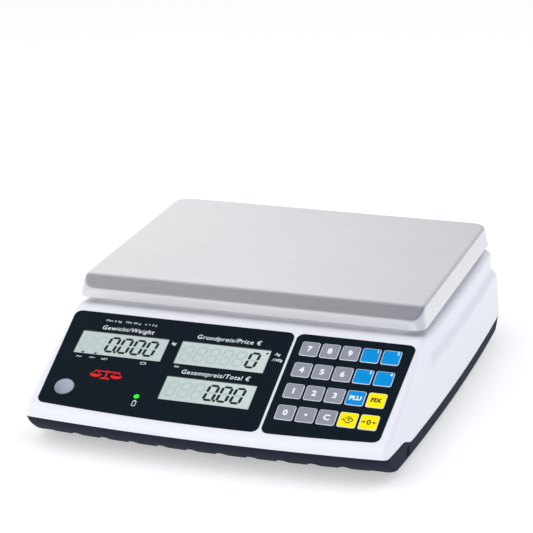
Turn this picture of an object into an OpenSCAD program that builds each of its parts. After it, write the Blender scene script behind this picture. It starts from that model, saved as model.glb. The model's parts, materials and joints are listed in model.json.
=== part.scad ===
// Counter-top retail price scale: a low two-part housing with a lift-off stainless pan,
// a single-point load cell, three displays and a twenty-key pad on a sloping front panel.
// Origin: middle of the footprint, on the surface that the feet rest on. +X right, +Y back, +Z up.

/* [Pan] */
// Width of the weighing pan
pan_w = 300; // [260:1:300]
// Depth of the weighing pan, front to back
pan_d = 230; // [200:1:230]
// Depth of the skirt that hangs from the pan's face
pan_skirt = 16.6; // [14:0.1:18]
// Thickness of the pan's sheet
pan_sheet = 1.2; // [0.8:0.1:1.5]
// Depth of the flat bevel along the pan's front edge
pan_bevel_d = 12.5; // [8:0.5:15]
// Drop of that bevel
pan_bevel_h = 8.4; // [5:0.1:10]
// Corner radius of the pan in plan
pan_corner_r = 13; // [8:1:20]
// How far each side of the pan leans in towards its top
pan_lean = 3; // [0:0.5:5]

/* [Housing] */
// Half the width of the housing at its widest
half_w = 161; // [158:1:166]
// Half the length of the housing, front to back
half_d = 177; // [175:1:182]
// Height of the pan's face above the counter
top_z = 106; // [104:1:110]
// Height of the flat deck that surrounds the pan
deck_z = 84; // [82:0.5:85]
// Height of the plinth that rises inside the pan's skirt
plinth_z = 91.5; // [88:0.5:92]
// Height of the line where cover and base meet, along the front
seam_front_z = 26.5; // [24:0.5:28]
// Height of that line along the sides and the back
seam_side_z = 20.5; // [20:0.5:24]
// Height of the base's underside above the counter
base_z = 7; // [6.5:0.5:8]
// Wall thickness of the mouldings
wall = 2.5; // [2:0.1:3]

/* [Front panel] */
// Slope of the front panel
panel_tilt = 24.25; // [20:0.25:26]
// Place of the panel's datum line, front to back
panel_y = -65.85; // [-68:0.05:-64]
// Height of the panel's datum line
panel_z = 82.25; // [80:0.05:83]
// Thickness of the printed overlays
overlay_t = 0.4; // [0.3:0.1:0.6]

/* [Keys] */
// Columns of keys
key_cols = 5; // [5:1:5]
// Rows of keys
key_rows = 4; // [4:1:4]
// Column pitch
key_pitch_u = 16.86; // [16.5:0.01:17.5]
// Row pitch
key_pitch_v = 23.15; // [21:0.05:23.5]
// Width of a key
key_w = 15; // [14:0.1:15.2]
// Height of a key
key_h = 15.5; // [14:0.1:18]
// Middle of the first key across the panel
key_u = 62.3; // [61:0.1:63]
// Middle of the first key up the panel
key_v = -20; // [-21:0.1:-19]

/* [Displays] */
// Width of a display's glass
lcd_w = 76.8; // [70:0.1:78]
// Height of a display's glass
lcd_h = 26; // [22:0.1:27]

/* [Feet] */
// Distance of the feet from the middle, sideways
foot_x = 128; // [120:1:132]
// Place of the front feet
foot_front_y = -118; // [-125:1:-105]
// Place of the back feet
foot_back_y = 142; // [130:1:148]
// Radius of the feet's threaded studs
stud_r = 3; // [2.5:0.5:4]

/* [Hidden] */
$fn = 48;
hull_fn = 32;
pan_y = 55;
fit = 0.05;
gap = 0.3;
eps = 0.01;

// Plan outline of the housing: shallow arcs along the front and both sides
front_arc_r = 1700;
side_arc_r = 3200;
side_arc_y = 60;
nose_y = -115;
nose_draw = 0.0003;
corner_r = 4;
arc_steps = 8;
seam_ramp_y = -136;
seam_ramp_len = 20;
seam_reveal = 0.8;
scoop_y = -124;
scoop_r = 6;
scoop_out = 2.4;
scoop_z = 14.5;
base_side_in = 1.5;
base_front_in = 20;
base_back_in = 11;
notch_n = 12;
notch_pitch = 25;
notch_r = 5;
notch_z = 6;
notch_len = 32;

// Levels of the cover's side tiers, and how far each stands in from the widest line
tier_low_z = 57;
tier_low_in = 4.5;
tier_mid_z = 66;
tier_mid_in = 8.5;
tier_top_in = 9.5;
tier_mid_back = 3.5;
tier_top_back = 4.5;
deck_round = 4;

// Depths below the panel's face
panel_wall = 3;
key_top = 0.8;
key_bottom = -0.6;
circuit_top = -1.2;
circuit_bottom = -1.8;
key_play = 0.25;
lcd_top = -0.2;
lcd_bottom = -3;
board_t = 1.6;
display_board_w = -5.2;
display_board_at = [-48, -58];
display_board_size = [170, 80];
board_corner = 20;

// Display places on the panel: middle across, middle up
weight_at = [-94.2, -38.5];
price_at = [-6.4, -38.4];
total_at = [-6.4, -77.8];
level_at = [-125.3, -89.7];
level_r = 8.7;
led_at = [-62, -91];
led_r = 2.5;
key_round = 1.8;
overlay_split = 47.1;
overlay_gap = 2.3;
overlay_round = 6;

// Load cell and its mountings
cell_l = 130;
cell_d = 30;
cell_h = 22;
cell_z = 30;
cell_end = 50;
cell_bore_r = 3.1;
cell_screw_r = 3;
cell_screw_y = 8;
cell_window_x = 11;
cell_window_r = 8;
cell_slot_h = 7;
cell_bore_deep = 12;
cell_grip = 9;
cell_pad_l = 38;
screw_play = 0.2;
spacer_h = 4;

// Cap screws: head, hexagon socket and counterbore
cap_r = 5;
cap_h = 3.4;
cap_socket_r = 2.9;
cap_bore_r = 5.6;
cap_sink = 4;
cap_inset = 1.4;

// Spider under the pan, and the stop below it
spider_z = 93.5;
spider_h = 9;
spider_arm_w = 16;
spider_x = 105;
spider_y = 75;
spider_eye = 2;
spider_plate = [132, 52];
spider_grip = 10;
post_r = 15;
deck_hole_r = 22;
stop_gap = 0.7;
stop_r = 3;
stop_inset = 0.6;
stop_boss_r = 8;
stop_boss_h = 6;
nut_r = 5.8;
nut_h = 5;
pad_r = 7;

// Battery, its door and strap
battery_size = [70, 100, 47];
battery_at = [-105, -25];
door_size = [84, 112, 1.6];
door_play = 0.4;
door_travel = 12;
door_ledge = 0.7;
strap_w = 16;

// Main board
board_size = [64, 92];
board_at = [112, 10];
board_lift = 9;
board_post_r = 3.5;
board_post_in = 5;

// Back wall fittings
rear_z = 40;
rear_window_size = [176, 28];
rear_lcd_x = [-56, 0, 56];
rear_lcd_size = [50, 20];
rear_lcd_view = [48, 18];
rear_board_size = [168, 24];
rocker_x = 112;
inlet_x = 138;
rocker_w = 12;
rocker_h = 18;
rocker_depth = 6.2;
rocker_tilt = 7;
rocker_hub_r = 1.6;
rocker_side_gap = 0.4;
bezel_t = 1.2;
inlet_r = 6;
inlet_l = 14;
inlet_bore_r = 2.8;
inlet_pin_r = 1;
switch_l = 16;
switch_well = 8;

// Case screws: one x, y for each
case_at = [[-140, -140], [140, -140], [-146, 62], [146, 62], [-128, 164], [128, 164]];
case_boss_front_h = 19;
case_boss_back_h = 36;
case_boss_r = 4.5;
web_reach = 155.6;
web_z = 51;
web_h = 10;
web_t = 2;
case_screw_r = 1.5;
case_split_y = -100;
case_bore_front_z = 33;
case_bore_back_z = 52;
case_screw_front_l = 24;
case_screw_back_l = 32;
case_head_r = 2.9;
case_head_h = 2.6;

// Feet: boss, stud and hand wheel
foot_boss_r = 8;
foot_boss_h = 14;
stud_z = 1.7;
stud_l = 17;
wheel_z = 3.3;
wheel_r = 9.5;
wheel_h = 3.2;
grip_r = 1.7;

foot_names = ["fl", "fr", "bl", "br"];
foot_at = [
    [-foot_x, foot_front_y], [foot_x, foot_front_y],
    [-foot_x, foot_back_y], [foot_x, foot_back_y]
];

key_names = [
    "key_7", "key_8", "key_9", "key_preset_1", "key_preset_2",
    "key_4", "key_5", "key_6", "key_preset_3", "key_preset_4",
    "key_1", "key_2", "key_3", "key_lookup", "key_fix",
    "key_0", "key_point", "key_clear", "key_tare", "key_zero"
];
key_colours = [
    "#9b9dac", "#9b9dac", "#9b9dac", "#0c96df", "#0c96df",
    "#9b9dac", "#9b9dac", "#9b9dac", "#0c96df", "#0c96df",
    "#9b9dac", "#9b9dac", "#9b9dac", "#0c96df", "#fae400",
    "#9b9dac", "#9b9dac", "#9b9dac", "#fae400", "#fae400"
];

// ---- shared shapes ----

// Half the housing's width at a place from front to back
function side_x(y) = half_w
    - pow(y - side_arc_y, 2) / (2 * side_arc_r)
    - nose_draw * pow(max(0, nose_y - y), 2);

// The front edge's place at a distance from the middle
function front_y(x) = -half_d + x * x / (2 * front_arc_r);

// Flat outline of the housing, drawn in by different amounts at the sides, front and back
module outline(side_in, front_in, back_in) {
    front_x = side_x(-half_d) - side_in;
    back_y = half_d - back_in;
    start_y = front_y(front_x) + front_in;
    front = [for (i = [-arc_steps : arc_steps])
        [front_x * i / arc_steps, front_y(front_x * i / arc_steps) + front_in]];
    right = [for (i = [1 : arc_steps])
        let (y = start_y + (back_y - start_y) * i / arc_steps) [side_x(y) - side_in, y]];
    left = [for (i = [arc_steps : -1 : 1])
        let (y = start_y + (back_y - start_y) * i / arc_steps) [side_in - side_x(y), y]];
    offset(r = corner_r, $fn = hull_fn)
        offset(delta = -corner_r)
            polygon(concat(front, right, left));
}

// A thin slice of the housing at one height
module slice(z, side_in, front_in, back_in) {
    translate([0, 0, z])
        linear_extrude(height = eps)
            outline(side_in, front_in, back_in);
}

// A flat rectangle with true round corners
module round_rect(w, d, r) {
    square([w - 2 * r, d], center = true);
    square([w, d - 2 * r], center = true);
    for (sx = [-1, 1], sy = [-1, 1])
        translate([sx * (w / 2 - r), sy * (d / 2 - r)])
            circle(r = r);
}

// A plate of that outline standing on z = 0
module round_plate(w, d, h, r) {
    linear_extrude(height = h)
        round_rect(w, d, r);
}

// Places its children on the sloping panel: u across, v up the slope, w out of it
module on_panel(u, v, w) {
    translate([0, panel_y, panel_z])
        rotate([panel_tilt, 0, 0])
            translate([u, v, w])
                children();
}

// Places its children on the inside of the back wall, facing backwards
module on_back(x, z, depth) {
    translate([x, half_d - depth, z])
        rotate([-90, 0, 0])
            children();
}

// Everything that lies above the seam between base and cover
module above_seam(lift) {
    far = 300;
    rotate([90, 0, 90])
        translate([0, 0, -far])
            linear_extrude(height = 2 * far)
                polygon([
                    [-far, seam_front_z + lift], [seam_ramp_y, seam_front_z + lift],
                    [seam_ramp_y + seam_ramp_len, seam_side_z + lift],
                    [far, seam_side_z + lift], [far, far], [-far, far]
                ]);
}

// ---- pan ----

module pan_form(t) {
    w = pan_w - 2 * t;
    top_w = w - 2 * pan_lean;
    ridge_w = w - 2 * pan_lean * (pan_skirt - pan_bevel_h) / pan_skirt;
    d = pan_d - 2 * t;
    edge = 1.6;
    hull() {
        translate([0, (pan_bevel_d - edge) / 2, top_z - t - eps])
            linear_extrude(height = eps)
                offset(r = pan_corner_r - edge, $fn = hull_fn)
                    square(
                        [top_w - 2 * pan_corner_r, d - 2 * pan_corner_r - pan_bevel_d + edge],
                        center = true);
        translate([0, edge, top_z - t - edge])
            linear_extrude(height = eps)
                offset(r = pan_corner_r, $fn = hull_fn)
                    square([top_w - 2 * pan_corner_r, d - 2 * pan_corner_r - 2 * edge], center = true);
        translate([0, 0, top_z - pan_bevel_h - t * 0.6])
            linear_extrude(height = eps)
                offset(r = pan_corner_r, $fn = hull_fn)
                    square([ridge_w - 2 * pan_corner_r, d - 2 * pan_corner_r], center = true);
        translate([0, 0, top_z - pan_skirt - (t > 0 ? 1 : 0)])
            linear_extrude(height = eps)
                offset(r = pan_corner_r, $fn = hull_fn)
                    square([w - 2 * pan_corner_r, d - 2 * pan_corner_r], center = true);
    }
}

module weighing_pan() {
    color("#dcdcdf")
        translate([0, pan_y, 0])
            difference() {
                pan_form(0);
                pan_form(pan_sheet);
            }
}

// ---- load platform ----

// The top of the rubber pads carries the underside of the pan
pad_top_z = top_z - pan_sheet - fit;

module spider_pads() {
    color("#26282c")
        for (sx = [-1, 1], sy = [-1, 1])
            translate([sx * spider_x, pan_y + sy * spider_y, spider_z + spider_h])
                cylinder(r = pad_r, h = pad_top_z - spider_z - spider_h);
}

module pan_spider() {
    arm_l = 2 * norm([spider_x, spider_y]);
    arm_a = atan2(spider_y, spider_x);
    color("#b9bcc2")
        translate([0, pan_y, 0])
            difference() {
                union() {
                    translate([0, 0, spider_z])
                        linear_extrude(height = spider_h) {
                            for (s = [-1, 1])
                                rotate([0, 0, s * arm_a])
                                    square([arm_l, spider_arm_w], center = true);
                            for (sx = [-1, 1], sy = [-1, 1])
                                translate([sx * spider_x, sy * spider_y])
                                    circle(r = spider_arm_w / 2 + spider_eye);
                            square(spider_plate, center = true);
                        }
                    translate([cell_end, 0, cell_z + cell_h])
                        cylinder(r = post_r, h = spider_z - cell_z - cell_h + spider_h / 2);
                }
                for (sy = [-1, 1])
                    translate([cell_end, sy * cell_screw_y, 0]) {
                        cylinder(r = cell_screw_r + screw_play, h = top_z);
                        translate([0, 0, spider_z + spider_h - cap_sink])
                            cylinder(r = cap_bore_r, h = 5);
                    }
            }
}

module spider_screws() {
    color("#8d9096")
        for (sy = [-1, 1])
            translate([cell_end, pan_y + sy * cell_screw_y, 0]) {
                translate([0, 0, cell_z + cell_h - spider_grip])
                    cylinder(
                        r = cell_screw_r,
                        h = spider_z + spider_h - cap_sink - cell_z - cell_h + spider_grip + eps);
                translate([0, 0, spider_z + spider_h - cap_sink])
                    difference() {
                        cylinder(r = cap_r, h = cap_h);
                        translate([0, 0, 1.4])
                            cylinder(r = cap_socket_r, h = 3, $fn = 6);
                    }
            }
}

module load_cell() {
    color("#c7cacf")
        translate([0, pan_y, cell_z])
            difference() {
                translate([-cell_l / 2, -cell_d / 2, 0])
                    cube([cell_l, cell_d, cell_h]);
                for (sx = [-1, 1])
                    translate([sx * cell_window_x, cell_d, cell_h / 2])
                        rotate([90, 0, 0])
                            cylinder(r = cell_window_r, h = 2 * cell_d);
                translate([0, 0, cell_h / 2])
                    cube([2 * cell_window_x, 2 * cell_d, cell_slot_h], center = true);
                for (sy = [-1, 1]) {
                    translate([cell_end, sy * cell_screw_y, cell_h - cell_bore_deep])
                        cylinder(r = cell_bore_r, h = cell_bore_deep + 1);
                    translate([-cell_end, sy * cell_screw_y, -1])
                        cylinder(r = cell_bore_r, h = cell_bore_deep + 1);
                }
            }
}

module load_cell_spacer() {
    color("#9ea2a8")
        translate([-cell_end, pan_y, cell_z - spacer_h])
            difference() {
                round_plate(30, cell_d, spacer_h, 2);
                for (sy = [-1, 1])
                    translate([0, sy * cell_screw_y, -1])
                        cylinder(r = cell_screw_r + screw_play, h = spacer_h + 2);
            }
}

module load_cell_screws() {
    color("#8d9096")
        for (sy = [-1, 1])
            translate([-cell_end, pan_y + sy * cell_screw_y, base_z + cap_inset]) {
                cylinder(r = cell_screw_r, h = cell_z + cell_grip - base_z - cap_inset);
                difference() {
                    cylinder(r = cap_r, h = cap_h);
                    translate([0, 0, -1])
                        cylinder(r = cap_socket_r, h = 3, $fn = 6);
                }
            }
}

module overload_stop_screw() {
    color("#8d9096")
        translate([cell_end, pan_y, base_z + stop_inset])
            cylinder(r = stop_r, h = cell_z - stop_gap - base_z - stop_inset);
}

module overload_stop_nut() {
    nut_z = base_z + wall + stop_boss_h + gap;
    color("#b4b070")
        translate([cell_end, pan_y, nut_z])
            difference() {
                cylinder(r = nut_r, h = nut_h, $fn = 6);
                translate([0, 0, -1])
                    cylinder(r = stop_r + fit, h = 7);
            }
}

// ---- housing ----

// The cover's outer form, or its hollow when drawn in by t
module cover_form(t) {
    floor_z = seam_side_z - 4 - t;
    difference() {
        union() {
            hull() {
                slice(floor_z, t, t, t);
                slice(tier_low_z - t, tier_low_in + t, t, t);
                slice(tier_mid_z - t, tier_mid_in + t, t, tier_mid_back + t);
            }
            hull() {
                slice(tier_low_z - 8, tier_mid_in + t, t, tier_top_back + t);
                slice(deck_z - deck_round - t, tier_top_in + t, t, tier_top_back + t);
                slice(deck_z - t - eps, tier_top_in + deck_round + t, t, tier_top_back + deck_round + t);
            }
        }
        on_panel(-200, -200, t > 0 ? -panel_wall : 0)
            cube([400, 200 + (deck_z - panel_z) / sin(panel_tilt) + 12, 100]);
    }
}

// The plinth under the pan
module plinth(t) {
    translate([0, pan_y - 1, deck_z - 4 - t])
        linear_extrude(height = plinth_z - deck_z + 4)
            round_rect(pan_w - 17 - 2 * t, pan_d - 14 - 2 * t, 10);
}

module display_windows(grow, from_w, to_w) {
    for (at = [weight_at, price_at, total_at])
        on_panel(at[0], at[1], from_w)
            linear_extrude(height = to_w - from_w)
                square([lcd_w + 2 * grow, lcd_h + 2 * grow], center = true);
}

module keypad_pocket(grow, from_w, to_w) {
    pocket_w = key_pitch_u * (key_cols - 1) + key_w + 4;
    pocket_h = key_pitch_v * (key_rows - 1) + key_h + 6;
    on_panel(
        key_u + key_pitch_u * (key_cols - 1) / 2,
        key_v - key_pitch_v * (key_rows - 1) / 2, from_w)
        linear_extrude(height = to_w - from_w)
            square([pocket_w + 2 * grow, pocket_h + 2 * grow], center = true);
}

module top_cover() {
    color("#ececf2")
        difference() {
            union() {
                difference() {
                    union() {
                        cover_form(0);
                        plinth(0);
                    }
                    cover_form(wall);
                    plinth(wall);
                }
                for (at = case_at)
                    translate([at[0], at[1], seam_front_z + 0.5])
                        cylinder(
                            r = case_boss_r,
                            h = at[1] < case_split_y ? case_boss_front_h : case_boss_back_h);
                // Webs that tie the two middle bosses to the side walls
                for (s = [-1, 1])
                    translate([s * (case_at[3][0] + web_reach) / 2, case_at[3][1], web_z])
                        cube([web_reach - case_at[3][0], web_t, web_h], center = true);
            }
            difference() {
                translate([-300, -300, -1])
                    cube([600, 600, 60]);
                above_seam(0);
            }
            translate([cell_end, pan_y, deck_z - 20])
                cylinder(r = deck_hole_r, h = 40);
            display_windows(0.3, -panel_wall - 2, 2);
            keypad_pocket(0.2, circuit_bottom, 2);
            on_panel(level_at[0], level_at[1], -panel_wall - 2)
                cylinder(r = level_r + 0.2, h = 8);
            on_panel(led_at[0], led_at[1], -panel_wall - 2)
                cylinder(r = led_r + 0.2, h = 8);
            for (at = case_at)
                translate([at[0], at[1], 0])
                    cylinder(
                        r = case_screw_r,
                        h = at[1] < case_split_y ? case_bore_front_z : case_bore_back_z);
            on_back(0, rear_z, 6)
                linear_extrude(height = 10)
                    square([rear_window_size[0] - 6, rear_window_size[1] - 6], center = true);
            on_back(0, rear_z, 1.2)
                linear_extrude(height = 5)
                    square([rear_window_size[0] + 0.4, rear_window_size[1] + 0.4], center = true);
            on_back(rocker_x, rear_z, 6)
                linear_extrude(height = 10)
                    square([rocker_w + 2.6, rocker_h + 2.6], center = true);
            on_back(inlet_x, rear_z, 6)
                cylinder(r = inlet_r - 0.4, h = 10);
            on_back(inlet_x, rear_z, bezel_t)
                cylinder(r = inlet_r + 1.4, h = 5);
            on_back(rocker_x, rear_z, bezel_t)
                linear_extrude(height = 5)
                    round_rect(rocker_w + 5.4, rocker_h + 5.4, 1.7);
        }
}

// The base's outer form, or its hollow when drawn in by t
module base_form(t, floor_up) {
    hull() {
        slice(base_z + floor_up, base_side_in + t, base_front_in + t, base_back_in + t);
        slice(seam_front_z, seam_reveal + t, seam_reveal + t, seam_reveal + t);
    }
}

module foot_boss(r, z0, h) {
    for (at = foot_at)
        translate([at[0], at[1], z0])
            cylinder(r = r, h = h);
}

module base_tray() {
    color("#262d3c")
        difference() {
            union() {
                difference() {
                    base_form(0, 0);
                    difference() {
                        base_form(wall, wall);
                        translate([-half_w, -half_d, 0])
                            cube([2 * half_w, 32, base_z + 9]);
                    }
                }
                foot_boss(foot_boss_r, base_z, foot_boss_h);
                for (at = case_at)
                    translate([at[0], at[1], base_z])
                        cylinder(r = case_boss_r, h = seam_front_z + 0.2 - base_z);
                translate([-cell_end, pan_y, base_z])
                    round_plate(cell_pad_l, cell_d + 8, cell_z - spacer_h - base_z, 4);
                translate([cell_end, pan_y, base_z])
                    cylinder(r = stop_boss_r, h = wall + stop_boss_h);
                for (sx = [-1, 1], sy = [-1, 1])
                    translate([
                        board_at[0] + sx * (board_size[0] / 2 - board_post_in),
                        board_at[1] + sy * (board_size[1] / 2 - board_post_in), base_z])
                        cylinder(r = board_post_r, h = board_lift);
            }
            intersection() {
                above_seam(-gap);
                translate([0, 0, 5])
                    linear_extrude(height = 60)
                        difference() {
                            outline(-5, -5, -5);
                            for (at = case_at)
                                translate(at)
                                    circle(r = case_boss_r + eps);
                        }
            }
            for (i = [0 : notch_n - 1])
                translate([(i - (notch_n - 1) / 2) * notch_pitch, -half_d - 5, notch_z])
                    rotate([-90, 0, 0])
                        cylinder(r = notch_r, h = notch_len);
            foot_boss(stud_r + fit, base_z - 1, 30);
            for (at = case_at)
                translate([at[0], at[1], base_z - 1]) {
                    cylinder(r = case_screw_r + 0.3, h = 30);
                    cylinder(r = case_head_r + 0.5, h = 5);
                }
            for (sy = [-1, 1])
                translate([-cell_end, pan_y + sy * cell_screw_y, base_z - 1]) {
                    cylinder(r = cell_screw_r + screw_play, h = 40);
                    cylinder(r = cap_bore_r, h = 6);
                }
            translate([cell_end, pan_y, 0])
                cylinder(r = stop_r + fit, h = 30);
            translate([battery_at[0], battery_at[1] - door_travel / 2, base_z - 1])
                linear_extrude(height = 1 + wall - door_ledge)
                    square(
                        [door_size[0] + 2 * door_play, door_size[1] + door_travel + 2 * door_play],
                        center = true);
            translate([battery_at[0], battery_at[1], base_z - 1])
                linear_extrude(height = 6)
                    square([door_size[0] - 8, door_size[1] - 16], center = true);
            // Finger scoops at the ends of the raised front section
            for (s = [-1, 1])
                translate([s * (side_x(scoop_y) + scoop_out), scoop_y, scoop_z])
                    sphere(r = scoop_r);
        }
}

module case_screws() {
    color("#8d9096")
        for (at = case_at)
            translate([at[0], at[1], base_z + 1]) {
                cylinder(
                    r = case_screw_r - 0.05,
                    h = at[1] < case_split_y ? case_screw_front_l : case_screw_back_l);
                difference() {
                    cylinder(r = case_head_r, h = case_head_h);
                    translate([0, 0, -1])
                        linear_extrude(height = 2.2) {
                            square([4, 0.9], center = true);
                            square([0.9, 4], center = true);
                        }
                }
            }
}

// ---- front panel ----

// The overlays' shared outline: tapering sides and a bowed lower edge
module overlay_outline() {
    top_v = -4;
    low_v = -113.2;
    low_u = 142.5;
    top_u = 147;
    low_rise = 0.00025;
    steps = 16;
    bottom = [for (i = [-steps : steps])
        let (u = low_u * i / steps) [u, low_v + low_rise * u * u]];
    offset(r = overlay_round, $fn = hull_fn)
        offset(delta = -overlay_round)
            polygon(concat(bottom, [[top_u, top_v], [-top_u, top_v]]));
}

module overlay_half(from_u, to_u) {
    offset(r = overlay_round, $fn = hull_fn)
        offset(delta = -overlay_round)
            intersection() {
                overlay_outline();
                translate([from_u, -150])
                    square([to_u - from_u, 200]);
            }
}

module display_overlay() {
    color("#141d24")
        difference() {
            on_panel(0, 0, 0)
                linear_extrude(height = overlay_t)
                    overlay_half(-200, overlay_split - overlay_gap / 2);
            display_windows(0, -1, 2);
            on_panel(level_at[0], level_at[1], -1)
                cylinder(r = level_r, h = 4);
            on_panel(led_at[0], led_at[1], -1)
                cylinder(r = led_r, h = 4);
        }
}

function key_place(i) = [
    key_u + key_pitch_u * (i % key_cols),
    key_v - key_pitch_v * floor(i / key_cols)
];

module keypad_overlay() {
    color("#141d24")
        difference() {
            on_panel(0, 0, 0)
                linear_extrude(height = overlay_t)
                    overlay_half(overlay_split + overlay_gap / 2, 200);
            for (i = [0 : key_cols * key_rows - 1])
                on_panel(key_place(i)[0], key_place(i)[1], -1)
                    round_plate(key_w + 2 * key_play, key_h + 2 * key_play, 4, key_round + key_play);
        }
}

module keypad_circuit() {
    color("#3f7a52")
        keypad_pocket(0, circuit_bottom, circuit_top);
}

module key(i) {
    color(key_colours[i])
        on_panel(key_place(i)[0], key_place(i)[1], key_bottom)
            round_plate(key_w, key_h, key_top - key_bottom, key_round);
}

module lcd(at) {
    color("#becac8")
        on_panel(at[0], at[1], lcd_bottom)
            linear_extrude(height = lcd_top - lcd_bottom)
                square([lcd_w, lcd_h], center = true);
}

module weight_lcd() {
    lcd(weight_at);
}

module price_lcd() {
    lcd(price_at);
}

module total_lcd() {
    lcd(total_at);
}

module display_board() {
    color("#2f6b45")
        on_panel(display_board_at[0], display_board_at[1], display_board_w)
            difference() {
                linear_extrude(height = board_t)
                    square(display_board_size, center = true);
                translate([level_at[0] - display_board_at[0], level_at[1] - display_board_at[1], -1]) {
                    cylinder(r = level_r + 1, h = 4);
                    translate([-board_corner, -board_corner, 0])
                        cube([board_corner, board_corner, 4]);
                }
            }
}

module level_vial() {
    color("#aaacbe")
        on_panel(level_at[0], level_at[1], -8)
            difference() {
                cylinder(r = level_r - 0.2, h = 8 + overlay_t - 0.2);
                translate([0, 0, 8 + overlay_t - 0.7])
                    cylinder(r = level_r - 1.2, h = 1);
            }
}

module charge_led() {
    color("#00f000")
        on_panel(led_at[0], led_at[1], display_board_w + board_t + gap)
            cylinder(r = led_r - 0.2, h = overlay_t - display_board_w - board_t - gap);
}

// ---- electronics and power ----

module main_board() {
    color("#2f6b45")
        translate([board_at[0], board_at[1], base_z + board_lift])
            union() {
                translate([-board_size[0] / 2, -board_size[1] / 2, 0])
                    cube([board_size[0], board_size[1], board_t]);
                translate([-14, -12, board_t - eps])
                    cube([16, 16, 1.6]);
                translate([8, 18, board_t - eps])
                    cube([18, 10, 9]);
                translate([-26, 30, board_t - eps])
                    cube([22, 6, 7]);
            }
}

module battery() {
    color("#3a3d42")
        translate([battery_at[0], battery_at[1], base_z + wall + 0.5])
            union() {
                round_plate(battery_size[0], battery_size[1], battery_size[2], 3);
                for (sx = [-1, 1])
                    translate([sx * 22, -battery_size[1] / 2 - 6, battery_size[2] - 12])
                        translate([-3, 0, 0])
                            cube([6, 7, 1]);
            }
}

module battery_strap() {
    strap_z = base_z + wall + 0.5 + battery_size[2];
    half = battery_size[0] / 2 + 0.5;
    color("#b9bcc2")
        translate([battery_at[0], battery_at[1], 0])
            rotate([90, 0, 0])
                translate([0, 0, -strap_w / 2])
                    linear_extrude(height = strap_w)
                        polygon([
                            [-half - 5, base_z + wall + 0.1], [-half, base_z + wall + 0.1],
                            [-half, strap_z + 0.4], [half, strap_z + 0.4],
                            [half, base_z + wall + 0.1], [half + 6, base_z + wall + 0.1],
                            [half + 6, base_z + wall + 1.6], [half + 1.5, base_z + wall + 1.6],
                            [half + 1.5, strap_z + 1.9], [-half - 1.5, strap_z + 1.9],
                            [-half - 1.5, base_z + wall + 1.6], [-half - 5, base_z + wall + 1.6]
                        ]);
}

module battery_door() {
    color("#2b3344")
        translate([battery_at[0], battery_at[1], base_z + 0.1])
            difference() {
                round_plate(door_size[0], door_size[1], door_size[2], 1);
                for (i = [-2 : 2])
                    translate([-16, 40 + i * 3, -1])
                        cube([32, 1.2, 1.5]);
            }
}

module power_rocker() {
    color("#17181b")
        on_back(rocker_x, rear_z, rocker_depth)
            rotate([rocker_tilt, 0, 0])
                translate([-rocker_w / 2 + rocker_side_gap, 0, 0])
                    rotate([90, 0, 90])
                        linear_extrude(height = rocker_w - 2 * rocker_side_gap) {
                            circle(r = rocker_hub_r);
                            polygon([
                                [-rocker_h / 2 + 0.9, 2], [-3, 0.6], [3, 0.6], [rocker_h / 2 - 0.9, 2],
                                [rocker_h / 2 - 0.9, 4.6], [0, 3.8], [-rocker_h / 2 + 0.9, 4.6]
                            ]);
                        }
}

module power_switch_body() {
    color("#202226")
        on_back(rocker_x, rear_z, switch_l)
            difference() {
                union() {
                    linear_extrude(height = switch_l)
                        square([rocker_w + 2.2, rocker_h + 2.2], center = true);
                    translate([0, 0, switch_l - bezel_t + fit])
                        round_plate(rocker_w + 5, rocker_h + 5, bezel_t - fit, 1.5);
                }
                translate([0, 0, switch_l - switch_well])
                    linear_extrude(height = 12)
                        square([rocker_w, rocker_h], center = true);
            }
}

module power_inlet() {
    color("#202226")
        on_back(inlet_x, rear_z, inlet_l)
            difference() {
                union() {
                    cylinder(r = inlet_r - 0.5, h = inlet_l);
                    translate([0, 0, inlet_l - bezel_t + fit])
                        cylinder(r = inlet_r + 1.2, h = bezel_t - fit);
                }
                difference() {
                    translate([0, 0, 4])
                        cylinder(r = inlet_bore_r, h = inlet_l);
                    cylinder(r = inlet_pin_r, h = inlet_l - 1);
                }
            }
}

// ---- customer side ----

module rear_window() {
    color("#20262b")
        on_back(0, rear_z, 1.1)
            difference() {
                round_plate(rear_window_size[0], rear_window_size[1], 1.1, 1.5);
                for (x = rear_lcd_x)
                    translate([x, 0, -1])
                        linear_extrude(height = 4)
                            square(rear_lcd_view, center = true);
            }
}

module rear_lcds() {
    color("#becac8")
        for (x = rear_lcd_x)
            on_back(x, rear_z, 3.9)
                linear_extrude(height = 2.5)
                    square(rear_lcd_size, center = true);
}

module rear_board() {
    color("#2f6b45")
        on_back(0, rear_z, 8)
            linear_extrude(height = board_t)
                square(rear_board_size, center = true);
}

// ---- feet ----

module foot_screw(i) {
    color("#a6a9ae")
        translate([foot_at[i][0], foot_at[i][1], 0]) {
            translate([0, 0, stud_z])
                cylinder(r = stud_r, h = stud_l);
            translate([0, 0, wheel_z])
                difference() {
                    cylinder(r = wheel_r, h = wheel_h);
                    for (a = [0 : 30 : 359])
                        rotate([0, 0, a])
                            translate([wheel_r + 0.9, 0, -1])
                                cylinder(r = grip_r, h = 6, $fn = 16);
                }
        }
}

module foot_pad(i) {
    color("#1b1d20")
        translate([foot_at[i][0], foot_at[i][1], 0])
            difference() {
                rotate_extrude()
                    polygon([[0, 0], [10.4, 0], [11, 0.8], [11, 2.2], [10.2, 3], [0, 3]]);
                translate([0, 0, 1.5])
                    cylinder(r = stud_r + fit, h = 3);
            }
}

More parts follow.
